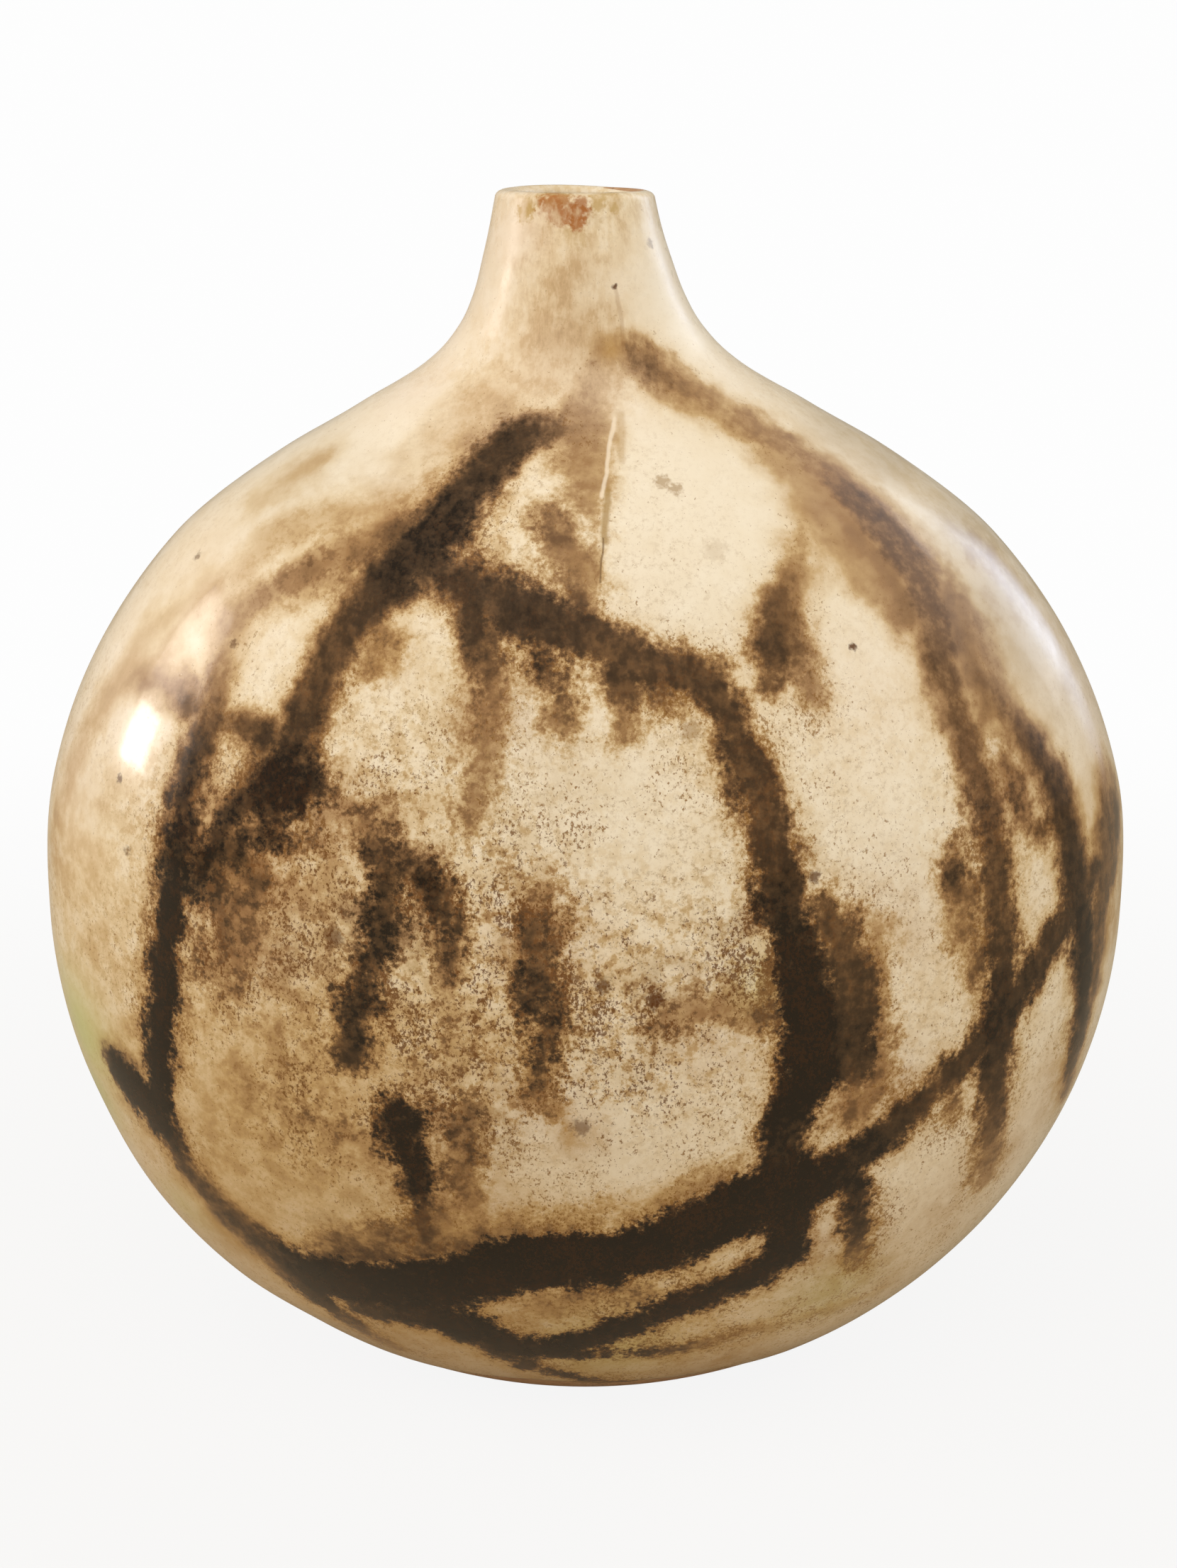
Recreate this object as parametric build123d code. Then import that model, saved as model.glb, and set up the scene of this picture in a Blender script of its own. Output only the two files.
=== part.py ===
"""A stoneware pilgrim flask: two round dishes luted edge to edge, a flared neck collar, an oval foot and glaze coats.

Millimetres. +X runs to the right across the round front, +Y runs from the front dish to the rear one, +Z is up.
The origin is the centre of the standing face.
"""

from build123d import *
from functools import cache
from math import acos, cos, sin, sqrt
import os

# Overall sizes of the glazed flask
BODY_WIDTH = 205.2  # diameter of the round front
BODY_DEPTH = 125.0  # front to back through the belly
TOTAL_HEIGHT = 228.0  # standing face to lip
BOTTOM_TRIM = 6.8  # how much of the round bottom is cut away to stand on

# Clay
WALL = 5.5
FLOOR = 5.0
FOOT_HEIGHT = 7.0  # the foot ring reaches up to the level underside of the dishes
FOOT_RING_WIDTH = 6.0
FOOT_EDGE = 0.8  # chamfer round the standing face

# Neck
COLLAR_DROP = 13.2  # level cut for the collar, below the crown of the round body
RIM_WIDTH = 27.6
MOUTH_WIDTH = 20.8  # glazed bore of the mouth
MOUTH_LENGTH = 16.0  # straight part of the bore, lip rounding left out
NECK_LEAN = -1.8  # how far the hand-set neck leans along X
LIP_ROUND = 1.3
CLAY_LIP_ROUND = 1.0

# Luting: slip fills each joint, and a coil of soft clay is worked into a rebate along its outside
SLIP = 0.5
COIL_WIDTH = 5.0
COIL_DEPTH = 2.4

# Glaze
GLAZE = 0.6
LINER = 0.5
GLAZE_LINE = 3.2  # bare clay shows below this height
LIP_GLAZE_DEPTH = 2.0  # how far the outer glaze turns down into the mouth
TRAIL_DEPTH = 0.3  # the iron glaze lies this deep in the pale one

# The neck's outline, as shares of its height and of its flare from the rim out to the collar joint
NECK_HEIGHT_SHARES = (0.0, 0.09, 0.16, 0.215, 0.27, 0.33, 0.45, 0.57, 0.76, 1.0)
NECK_FLARE_SHARES = (1.0, 0.81, 0.67, 0.55, 0.44, 0.345, 0.22, 0.145, 0.07, 0.0)
ROUND_NECK_SHARE = 0.85  # the neck is round from this share of its height up

# The throat inside it, from the collar joint up to the straight bore
THROAT_HEIGHT_SHARES = (0.0, 0.2, 0.4, 0.62, 1.0)
THROAT_FLARE_SHARES = (1.0, 0.62, 0.34, 0.14, 0.0)

BODY_SECTIONS = 12  # level sections that shape the round body below the collar joint

# Trails of iron glaze, each from where it was poured first to where it ran out. A point is three shares: how far
# right and how far up it lies from the body's centre, of the body's radius, and how wide the trail is there, of
# TRAIL_WIDTH. The rear trails are as seen from behind, so their first share is to the left.
TRAIL_WIDTH = 8.5
FRONT_TRAIL_SHARES = (
    (
        (-0.05, 0.90, 0.5),
        (-0.14, 0.87, 0.8),
        (-0.24, 0.79, 0.8),
        (-0.34, 0.66, 1.1),
        (-0.44, 0.52, 1.0),
        (-0.51, 0.38, 1.2),
        (-0.60, 0.27, 0.9),
        (-0.68, 0.18, 0.6),
    ),
    (
        (-0.57, 0.62, 0.3),
        (-0.64, 0.41, 0.5),
        (-0.68, 0.22, 0.7),
        (-0.72, 0.05, 0.8),
        (-0.74, -0.14, 0.8),
        (-0.74, -0.29, 0.7),
        (-0.64, -0.45, 0.7),
        (-0.49, -0.56, 0.7),
    ),
    (
        (-0.50, -0.58, 0.7),
        (-0.26, -0.56, 1.2),
        (-0.06, -0.50, 1.2),
        (0.10, -0.45, 1.1),
        (0.23, -0.37, 1.2),
        (0.37, -0.29, 0.9),
    ),
    (
        (-0.21, -0.61, 0.6),
        (-0.05, -0.69, 0.8),
        (0.14, -0.63, 0.5),
        (0.28, -0.58, 0.6),
        (0.36, -0.50, 0.8),
    ),
    (
        (-0.32, 0.72, 0.5),
        (-0.13, 0.69, 0.9),
        (-0.03, 0.65, 1.4),
        (0.11, 0.59, 1.1),
        (0.21, 0.54, 1.1),
        (0.28, 0.40, 1.0),
        (0.33, 0.22, 1.1),
        (0.37, 0.02, 1.5),
        (0.37, -0.16, 1.3),
        (0.35, -0.30, 1.1),
        (0.36, -0.44, 0.8),
    ),
    (
        (0.37, -0.31, 0.7),
        (0.51, -0.22, 0.9),
        (0.68, -0.12, 0.8),
        (0.80, 0.04, 0.7),
        (0.90, 0.16, 0.4),
    ),
    (
        (0.07, 0.95, 0.6),
        (0.20, 0.90, 0.8),
        (0.33, 0.86, 0.6),
        (0.44, 0.80, 0.6),
        (0.53, 0.70, 0.8),
        (0.59, 0.58, 0.9),
        (0.64, 0.40, 0.8),
        (0.69, 0.20, 0.7),
        (0.71, 0.00, 0.8),
        (0.71, -0.24, 0.7),
        (0.70, -0.40, 0.5),
    ),
    (
        (0.60, 0.67, 0.3),
        (0.72, 0.48, 0.5),
        (0.81, 0.30, 0.7),
        (0.87, 0.10, 0.9),
        (0.88, -0.14, 0.7),
        (0.86, -0.32, 0.4),
    ),
    (
        (0.37, 0.75, 0.3),
        (0.32, 0.66, 0.7),
        (0.30, 0.57, 0.5),
    ),
)
REAR_TRAIL_SHARES = (
    (
        (0.04, 0.93, 0.5),
        (-0.14, 0.84, 0.8),
        (-0.31, 0.68, 1.0),
        (-0.46, 0.45, 0.9),
        (-0.55, 0.18, 1.1),
        (-0.58, -0.10, 0.8),
        (-0.50, -0.36, 0.6),
    ),
    (
        (-0.40, 0.58, 0.5),
        (-0.16, 0.50, 0.9),
        (0.08, 0.42, 1.2),
        (0.27, 0.27, 1.0),
        (0.36, 0.04, 1.2),
        (0.38, -0.22, 0.9),
        (0.34, -0.44, 0.7),
    ),
    (
        (-0.60, -0.38, 0.6),
        (-0.36, -0.50, 1.0),
        (-0.08, -0.52, 1.2),
        (0.20, -0.44, 1.1),
        (0.46, -0.28, 0.9),
        (0.70, -0.06, 0.7),
        (0.84, 0.16, 0.4),
    ),
    (
        (0.22, 0.88, 0.5),
        (0.42, 0.76, 0.8),
        (0.58, 0.55, 0.9),
        (0.66, 0.28, 0.8),
        (0.68, 0.00, 0.7),
        (0.64, -0.26, 0.5),
    ),
)

OVERRUN = 20.0

body_radius = BODY_WIDTH / 2
body_half_depth = BODY_DEPTH / 2
body_centre = body_radius - BOTTOM_TRIM
collar_joint = body_centre + body_radius - COLLAR_DROP
underside = FOOT_HEIGHT + SLIP
floor_height = underside + FLOOR
bore_radius = MOUTH_WIDTH / 2
throat_top = TOTAL_HEIGHT - LIP_ROUND - MOUTH_LENGTH
lip_start = TOTAL_HEIGHT - LIP_GLAZE_DEPTH


def smooth(share):
    """Ease from 0 to 1."""
    t = min(max(share, 0.0), 1.0)
    return t * t * (3 - 2 * t)


def levels(low, high):
    """Everything between two heights."""
    side = BODY_WIDTH + OVERRUN
    return Pos(0, 0, (low + high) / 2) * Box(side, side, high - low)


def upright_slab(thickness):
    """A slab of that thickness along the plane where the dishes meet."""
    side = BODY_WIDTH + TOTAL_HEIGHT
    return Box(side, thickness, side)


def half_width(inset, height):
    """Half the width of the round body at a height, that far inside the glazed surface."""
    return sqrt((body_radius - inset) ** 2 - (height - body_centre) ** 2)


def squash(inset):
    """Depth over width of the body's level sections."""
    return (body_half_depth - inset) / (body_radius - inset)


def body_ovals(inset, low):
    """Level sections of the round body from a height up to just below the collar joint."""
    radius = body_radius - inset
    first = acos((body_centre - low) / radius)
    last = acos((body_centre - collar_joint) / radius)
    ovals = []
    for step in range(BODY_SECTIONS):
        turn = first + (last - first) * step / BODY_SECTIONS
        wide = radius * sin(turn)
        height = body_centre - radius * cos(turn)
        ovals.append(Pos(0, 0, height) * Ellipse(wide, wide * squash(inset)))
    return ovals


def flare_ovals(inset, top_half_width, top, height_shares, flare_shares, round_share):
    """Level sections of a flare off the body, from the collar joint up to a round top."""
    joint_half_width = half_width(inset, collar_joint)
    ovals = []
    for height_share, flare_share in zip(height_shares, flare_shares):
        height = collar_joint + height_share * (top - collar_joint)
        wide = top_half_width + flare_share * (joint_half_width - top_half_width)
        roundness = squash(inset) + (1 - squash(inset)) * smooth(height_share / round_share)
        lean = NECK_LEAN * smooth(height_share)
        ovals.append(Pos(lean, 0, height) * Ellipse(wide, wide * roundness))
    return ovals


@cache
def outside(inset):
    """The whole outer form, that far inside the glazed surface, with a sharp lip."""
    top_half_width = RIM_WIDTH / 2 - inset
    top = TOTAL_HEIGHT - inset
    neck = flare_ovals(inset, top_half_width, top, NECK_HEIGHT_SHARES, NECK_FLARE_SHARES, ROUND_NECK_SHARE)
    return loft(body_ovals(inset, 0) + neck)


def hollow(inset, floor, radius):
    """The whole inside, from a level floor through the throat and the straight bore."""
    neck = flare_ovals(inset, radius, throat_top, THROAT_HEIGHT_SHARES, THROAT_FLARE_SHARES, 1)
    bore_height = TOTAL_HEIGHT + OVERRUN - throat_top
    bore = Pos(NECK_LEAN, 0, throat_top + bore_height / 2) * Cylinder(radius, bore_height)
    return loft(body_ovals(inset, floor) + neck) + bore


def with_round_lip(vessel, rounding):
    """A vessel with both edges of its lip rounded."""
    lip = vessel.faces().sort_by(Axis.Z)[-1]
    return fillet(lip.edges(), rounding)


def clay_outside():
    """The outer form of the bare clay."""
    return outside(GLAZE)


@cache
def clay_hollow():
    """The inside of the bare clay."""
    return hollow(GLAZE + WALL, floor_height, bore_radius + LINER)


def lined_hollow():
    """The inside once it is glazed."""
    return hollow(GLAZE + WALL + LINER, floor_height + LINER, bore_radius)


def clay_vessel():
    """The clay before its joints are cut."""
    return with_round_lip(clay_outside() - clay_hollow(), CLAY_LIP_ROUND)


@cache
def coil_band():
    """The shell of clay that the luting coils lie in."""
    return clay_outside() - outside(GLAZE + COIL_DEPTH)


def neck_coil():
    """The coil worked into a rebate all round the foot of the neck."""
    middle = collar_joint - SLIP / 2
    return coil_band() & levels(middle - COIL_WIDTH / 2, middle + COIL_WIDTH / 2)


def seam_coils():
    """The left and the right coil, worked into a rebate along the outside of the seam, up to the neck's coil."""
    top = collar_joint - SLIP / 2 - COIL_WIDTH / 2
    coils = coil_band() & upright_slab(COIL_WIDTH) & levels(underside, top)
    return coils.solids().sort_by(Axis.X)


def dishes(clay, coils):
    """The front dish, the rear dish and the slip between their edges."""
    body = clay & levels(underside, collar_joint - SLIP)
    for coil in coils:
        body -= coil
    halves = (body - upright_slab(SLIP)).solids().sort_by(Axis.Y)
    return halves[0], halves[-1], body & upright_slab(SLIP)


def foot_hollow():
    """The oval hollow inside the foot ring."""
    wide = half_width(GLAZE, 0)
    oval = Ellipse(wide - FOOT_RING_WIDTH, wide * squash(GLAZE) - FOOT_RING_WIDTH)
    return extrude(oval, FOOT_HEIGHT + OVERRUN)


def foot_ring():
    """The bare oval ring that the flask stands on, which carries the body's curve down to the table."""
    ring = (clay_outside() & levels(0, FOOT_HEIGHT)) - foot_hollow()
    standing_face = ring.faces().sort_by(Axis.Z)[0]
    return chamfer(standing_face.edges(), FOOT_EDGE)


def foot_slip():
    """The slip that joins the foot ring to the dishes."""
    return (clay_outside() & levels(FOOT_HEIGHT, underside)) - foot_hollow()


def trail_outline(shares):
    """The outline of one trail on the upright plane through the body's centre."""
    middle = [Vector(right * body_radius, up * body_radius) for right, up, _ in shares]
    ahead = middle[1:] + [middle[-1] * 2 - middle[-2]]
    behind = [middle[0] * 2 - middle[1]] + middle[:-1]
    first_side = []
    second_side = []
    for point, before, after, (_, _, width_share) in zip(middle, behind, ahead, shares):
        along = (after - before).normalized()
        out = Vector(-along.Y, along.X) * (width_share * TRAIL_WIDTH / 2)
        first_side.append(point + out)
        second_side.insert(0, point - out)
    return make_face(Spline(*first_side, *second_side, periodic=True))


def trails(trail_shares, shell, facing):
    """Trails of iron glaze in the outer skin of the side that faces that way along Y."""
    plane = Plane(origin=(0, 0, body_centre), x_dir=(-facing, 0, 0), z_dir=(0, facing, 0))
    outlines = Sketch() + [trail_outline(shares) for shares in trail_shares]
    return extrude(plane * outlines, BODY_DEPTH) & shell


def outer_glaze(outer_form, clay, trail_parts):
    """The pale glaze, from its line above the foot up over the lip and a little way into the mouth."""
    glazed = with_round_lip(outer_form - lined_hollow(), LIP_ROUND)
    coat = (glazed - clay) & levels(GLAZE_LINE, TOTAL_HEIGHT)
    coat -= clay_hollow() & levels(0, lip_start)
    return coat - trail_parts


def liner_glaze():
    """The glaze swirled over the whole inside, up to where the outer glaze ends."""
    return (clay_hollow() & levels(0, lip_start)) - lined_hollow()


def write_parts():
    """Build every piece and write its file."""
    clay = clay_vessel()
    left_coil, right_coil = seam_coils()
    collar_coil = neck_coil()
    front, rear, seam_joint = dishes(clay, (left_coil, right_coil, collar_coil))
    outer_form = outside(0)
    skin = outer_form - outside(TRAIL_DEPTH)
    front_trails = trails(FRONT_TRAIL_SHARES, skin, -1)
    rear_trails = trails(REAR_TRAIL_SHARES, skin, 1)
    parts = {
        "front_dish": front,
        "rear_dish": rear,
        "seam_slip": seam_joint,
        "left_seam_coil": left_coil,
        "right_seam_coil": right_coil,
        "neck_collar": (clay & levels(collar_joint, TOTAL_HEIGHT)) - collar_coil,
        "neck_slip": (clay & levels(collar_joint - SLIP, collar_joint)) - collar_coil,
        "neck_coil": collar_coil,
        "foot_ring": foot_ring(),
        "foot_slip": foot_slip(),
        "outer_glaze": outer_glaze(outer_form, clay, [front_trails, rear_trails]),
        "liner_glaze": liner_glaze(),
        "front_trails": front_trails,
        "rear_trails": rear_trails,
    }
    os.makedirs("parts", exist_ok=True)
    for name, part in parts.items():
        export_step(part, f"parts/{name}.step")


write_parts()
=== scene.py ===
import math

import bpy
import numpy as np
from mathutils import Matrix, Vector, noise
from mathutils.bvhtree import BVHTree


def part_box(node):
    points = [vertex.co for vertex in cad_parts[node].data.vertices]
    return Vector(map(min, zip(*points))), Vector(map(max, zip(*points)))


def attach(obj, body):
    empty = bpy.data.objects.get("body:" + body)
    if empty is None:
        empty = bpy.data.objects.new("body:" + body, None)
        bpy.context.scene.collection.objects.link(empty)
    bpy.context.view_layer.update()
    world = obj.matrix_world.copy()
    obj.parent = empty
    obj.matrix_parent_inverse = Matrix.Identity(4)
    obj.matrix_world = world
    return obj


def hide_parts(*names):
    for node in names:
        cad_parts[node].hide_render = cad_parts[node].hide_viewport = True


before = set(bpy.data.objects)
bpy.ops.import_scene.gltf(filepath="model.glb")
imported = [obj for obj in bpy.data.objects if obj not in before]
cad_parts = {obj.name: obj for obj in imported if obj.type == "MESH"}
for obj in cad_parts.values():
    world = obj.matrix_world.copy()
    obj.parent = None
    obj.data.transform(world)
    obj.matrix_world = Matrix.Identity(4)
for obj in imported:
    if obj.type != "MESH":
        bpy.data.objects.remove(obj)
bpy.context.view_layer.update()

MM = 0.001

# Camera: it looks down on the front, with the photograph's full frame in pixels
PHOTO_WIDTH = 1660
PHOTO_HEIGHT = 2212
LENS = 51.93  # on a 36 mm sensor along the frame's longer side
SENSOR = 36.0
CAMERA_DISTANCE = 430 * MM
CAMERA_ELEVATION = math.radians(18)
AIM = Vector((0.57 * MM, 0, 118.1 * MM))


def make_camera():
    """The camera, aimed at the middle of the frame."""
    camera = bpy.data.objects.new("camera", bpy.data.cameras.new("camera"))
    bpy.context.collection.objects.link(camera)
    camera.data.lens = LENS
    camera.data.sensor_width = SENSOR
    back = Vector((0, -math.cos(CAMERA_ELEVATION), math.sin(CAMERA_ELEVATION)))
    camera.location = AIM + back * CAMERA_DISTANCE
    camera.rotation_euler = (math.pi / 2 - CAMERA_ELEVATION, 0, 0)
    bpy.context.scene.camera = camera


def pixel_ray(pixel, behind=False):
    """Where the line of sight through a pixel starts, and its direction, or the same from behind."""
    across = (pixel[0] - PHOTO_WIDTH / 2) / PHOTO_HEIGHT * SENSOR / LENS
    down = (pixel[1] - PHOTO_HEIGHT / 2) / PHOTO_HEIGHT * SENSOR / LENS
    cos_e = math.cos(CAMERA_ELEVATION)
    sin_e = math.sin(CAMERA_ELEVATION)
    start = AIM + Vector((0, -cos_e, sin_e)) * CAMERA_DISTANCE
    direction = Vector((across, cos_e - down * sin_e, -sin_e - down * cos_e))
    if behind:
        start = Vector((-start.x, -start.y, start.z))
        direction = Vector((-direction.x, -direction.y, direction.z))
    return start, direction.normalized()


# The form of the flask, in the sizes of its solids
glaze_low, glaze_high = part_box("outer_glaze")
BODY_RADIUS = (glaze_high[0] - glaze_low[0]) / 2
BODY_SQUASH = (glaze_high[1] - glaze_low[1]) / (glaze_high[0] - glaze_low[0])
GLAZE_LINE = glaze_low[2]
TOP = glaze_high[2]
BOTTOM_TRIM = 6.8 * MM  # how much of the round bottom is cut away to stand on
COLLAR_DROP = 13.2 * MM  # how far below the crown of the round body the collar starts
BODY_CENTRE = BODY_RADIUS - BOTTOM_TRIM
COLLAR_JOINT = BODY_CENTRE + BODY_RADIUS - COLLAR_DROP
RIM_RADIUS = 13.8 * MM
BORE_RADIUS = 10.4 * MM
NECK_LEAN = -1.8 * MM
LIP_ROUND = 1.5 * MM
LIP_GLAZE_DEPTH = 2.0 * MM
GLAZE_THICKNESS = 0.6 * MM
NECK_HEIGHT_SHARES = (0.0, 0.09, 0.16, 0.215, 0.27, 0.33, 0.45, 0.57, 0.76, 1.0)
NECK_FLARE_SHARES = (1.0, 0.81, 0.67, 0.55, 0.44, 0.345, 0.22, 0.145, 0.07, 0.0)
ROUND_NECK_SHARE = 0.85

# The glaze skin's mesh
OUTLINE_SAMPLES = 4000  # heights at which the outline is measured, to space the rings evenly
AROUND = 380  # points round each level ring
OUTER_RINGS = 196
LIP_RINGS = 9
BORE_RINGS = 3
BACK_NECK_RINGS = 36  # the hidden side's rings are closer above the shoulder, where the neck curves inwards
SHOULDER = COLLAR_JOINT - 38 * MM
BACK_BODY_RINGS = 11
BACK_DEPTH = 0.54 * MM  # how far inside the solid's surface the hidden side lies, just clear of the clay
SKIN_DEPTH = 0.22 * MM  # how far inside the solid's surface the skin's mean lies, for its relief to stay in
LIP_RELIEF = 0.3  # share of the relief that is left where the lip starts
LIP_EASE_RINGS = 8  # rings below the lip over which the relief falls to that share


def smooth(share):
    """Ease from 0 to 1."""
    t = np.clip(share, 0.0, 1.0)
    return t * t * (3 - 2 * t)


def curve_through(xs, ys, x):
    """A smooth curve through points, read at x."""
    xs = np.asarray(xs, float)
    ys = np.asarray(ys, float)
    slopes = np.gradient(ys, xs)
    i = np.clip(np.searchsorted(xs, x) - 1, 0, len(xs) - 2)
    step = xs[i + 1] - xs[i]
    t = (x - xs[i]) / step
    return (
        (2 * t**3 - 3 * t**2 + 1) * ys[i]
        + (t**3 - 2 * t**2 + t) * step * slopes[i]
        + (3 * t**2 - 2 * t**3) * ys[i + 1]
        + (t**3 - t**2) * step * slopes[i + 1]
    )


def half_width(height):
    """Half the width of the glazed form at a height, lip rounding left out."""
    on_body = np.sqrt(np.maximum(BODY_RADIUS**2 - (height - BODY_CENTRE) ** 2, 0))
    joint_half_width = math.sqrt(BODY_RADIUS**2 - (COLLAR_JOINT - BODY_CENTRE) ** 2)
    share = (height - COLLAR_JOINT) / (TOP - COLLAR_JOINT)
    flare = curve_through(NECK_HEIGHT_SHARES, NECK_FLARE_SHARES, np.clip(share, 0, 1))
    on_neck = RIM_RADIUS + flare * (joint_half_width - RIM_RADIUS)
    return np.where(height < COLLAR_JOINT, on_body, on_neck)


def squash(height):
    """Depth over width at a height."""
    share = (height - COLLAR_JOINT) / (TOP - COLLAR_JOINT)
    return BODY_SQUASH + (1 - BODY_SQUASH) * smooth(share / ROUND_NECK_SHARE)


def lean(height):
    """How far the neck has moved along X at a height."""
    return NECK_LEAN * smooth((height - COLLAR_JOINT) / (TOP - COLLAR_JOINT))


def even_outline(low, high, count):
    """Heights evenly spaced along the outline."""
    heights = np.linspace(low, high, OUTLINE_SAMPLES)
    widths = half_width(heights)
    length = np.concatenate([[0], np.cumsum(np.hypot(np.diff(heights), np.diff(widths)))])
    return np.interp(np.linspace(0, length[-1], count), length, heights)


def level_ring(heights, inset, angles):
    """Points of level rings on the form, that far inside it: one row for each height."""
    wide = (half_width(heights) - inset)[:, None]
    deep = (half_width(heights) * squash(heights) - inset)[:, None]
    x = lean(heights)[:, None] + wide * np.cos(angles)
    y = deep * np.sin(angles)
    z = np.repeat(heights[:, None], len(angles), 1)
    return np.stack([x, y, z], 2)


def lip_ring(radius, height, angles):
    """Points of one round ring of the lip or the bore."""
    x = NECK_LEAN + radius * np.cos(angles)
    return np.stack([x, radius * np.sin(angles), np.full(len(angles), height)], 1)


def skin_rings(angles):
    """The rings that show, from the glaze line over the lip into the bore, and the hidden ones."""
    lip_start = TOP - LIP_ROUND
    outer = level_ring(even_outline(GLAZE_LINE, lip_start, OUTER_RINGS), 0, angles)
    outer_radius = float(half_width(np.array([lip_start]))[0])
    middle = (outer_radius + BORE_RADIUS) / 2
    reach = (outer_radius - BORE_RADIUS) / 2
    lip = []
    for turn in np.linspace(0, math.pi, LIP_RINGS + 2)[1:]:
        lip.append(lip_ring(middle + reach * math.cos(turn), lip_start + LIP_ROUND * math.sin(turn), angles))
    for height in np.linspace(lip_start, TOP - LIP_GLAZE_DEPTH, BORE_RINGS + 1)[1:]:
        lip.append(lip_ring(BORE_RADIUS, height, angles))
    shown = np.concatenate([outer, np.stack(lip)])
    backing = [
        lip_ring(BORE_RADIUS + GLAZE_THICKNESS, TOP - LIP_GLAZE_DEPTH, angles),
        lip_ring(middle, TOP - GLAZE_THICKNESS, angles),
    ]
    back_body = even_outline(GLAZE_LINE, SHOULDER, BACK_BODY_RINGS)
    back_neck = even_outline(SHOULDER, lip_start - GLAZE_THICKNESS, BACK_NECK_RINGS)
    back = level_ring(np.concatenate([back_body[:-1], back_neck]), 0, angles)
    back = back - grid_normals(back) * BACK_DEPTH
    return shown, np.concatenate([np.stack(backing), back[::-1]])


def grid_normals(grid):
    """Outward normals of a grid of closed rings."""
    along = np.gradient(grid, axis=0)
    around = np.roll(grid, -1, 1) - np.roll(grid, 1, 1)
    normals = np.cross(around, along)
    return normals / np.maximum(np.linalg.norm(normals, axis=2, keepdims=True), 1e-12)


def ring_faces(rings, points):
    """Quads between closed rings, the last ring joined to the first."""
    i = np.arange(rings)[:, None]
    j = np.arange(points)[None, :]
    above = (i + 1) % rings
    beside = (j + 1) % points
    corners = (i * points + j, i * points + beside, above * points + beside, above * points + j)
    return np.stack(np.broadcast_arrays(*corners), 2).reshape(-1, 4)


def lumps(points, size, seed):
    """Smooth noise from about -1 to 1 with features of that size."""
    shift = Vector((seed * 17.3, seed * 5.1, seed * 9.7))
    values = [noise.noise(Vector(p) / size + shift) for p in points.reshape(-1, 3)]
    return np.array(values).reshape(points.shape[:-1]) * 1.6


def open_ring_faces(rings, points):
    """Quads between closed rings, the two end rings left open."""
    return ring_faces(rings, points)[: (rings - 1) * points]


def on_surface(surface, pixel, behind):
    """The point and the normal of the form at a pixel, or the nearest ones where the sight line misses it."""
    start, direction = pixel_ray(pixel, behind)
    hit, normal, _, _ = surface.ray_cast(start, direction)
    if hit is None:
        reach = (Vector((0, 0, BODY_CENTRE)) - start).dot(direction)
        hit, normal, _, _ = surface.find_nearest(start + direction * reach)
    return hit, normal


# Near the outline the surface turns away so far that the widening of a mark needs limits
LEAST_SLOPE = 0.15
MOST_WIDENING = 1.7


def foreshortening(pixels, at, normal, behind):
    """How much wider a mark is on the turned surface than it shows across its course."""
    if len(pixels) == 1:
        return 1.0
    before = pixels[max(at - 1, 0)]
    after = pixels[min(at + 1, len(pixels) - 1)]
    along = Vector((after[0] - before[0], before[1] - after[1])).normalized()
    turn = -1 if behind else 1
    up = Vector((0, turn * math.sin(CAMERA_ELEVATION), math.cos(CAMERA_ELEVATION)))
    across = Vector((turn, 0, 0)) * -along.y + up * along.x
    sight = pixel_ray(pixels[at], behind)[1]
    slope = min(sight.dot(normal), -LEAST_SLOPE)
    widening = math.sqrt((across - sight * (across.dot(normal) / slope)).length)
    return min(widening, MOST_WIDENING)


class Marks:
    """How far inside the marks of one kind each point of the skin lies, and how dark they are there."""

    FAR = -14.0  # millimetres inside a mark's edge, below 0 outside it: well outside every mark
    DEEP = 6.0  # millimetres inside a mark's edge from where its weight no longer grows
    BLEND = 0.8  # over how many millimetres one mark's darkness gives way to another's
    STEPS = 8  # points of the smooth course for each point of the list

    def __init__(self, skin, surface):
        self.skin = skin.reshape(-1, 3)
        self.surface = surface
        self.edge = np.full(len(self.skin), self.FAR)
        self.weight = np.full(len(self.skin), 1e-9)
        self.level = np.zeros(len(self.skin))

    def add(self, course, behind=False):
        """One mark: pixels with a width in millimetres and a darkness at each."""
        pixels = [mark[:2] for mark in course]
        found = [on_surface(self.surface, pixel, behind) for pixel in pixels]
        points = np.array([hit for hit, _ in found])
        sizes = np.array([mark[2:] for mark in course], float)
        for at, (_, normal) in enumerate(found):
            sizes[at, 0] *= foreshortening(pixels, at, normal, behind)
        if len(course) > 1:
            knots = np.arange(len(course))
            steps = np.linspace(0, len(course) - 1, (len(course) - 1) * self.STEPS + 1)
            points = np.stack([curve_through(knots, points[:, axis], steps) for axis in range(3)], 1)
            sizes = np.stack([np.interp(steps, knots, sizes[:, column]) for column in range(2)], 1)
        margin = (sizes[:, 0].max() / 2 - self.FAR) * MM
        near = np.all((self.skin > points.min(0) - margin) & (self.skin < points.max(0) + margin), 1)
        found = np.where(near)[0]
        away = np.linalg.norm(self.skin[found, None] - points[None], axis=2) / MM
        edges = sizes[:, 0] / 2 - away
        best = edges.argmax(1)
        edge = edges[np.arange(len(found)), best]
        weight = np.exp(np.clip(edge, self.FAR, self.DEEP) / self.BLEND)
        self.level[found] += weight * sizes[best, 1]
        self.weight[found] += weight
        self.edge[found] = np.maximum(self.edge[found], edge)

    def levels(self):
        return np.clip(self.level / self.weight, 0, 1)


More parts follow.
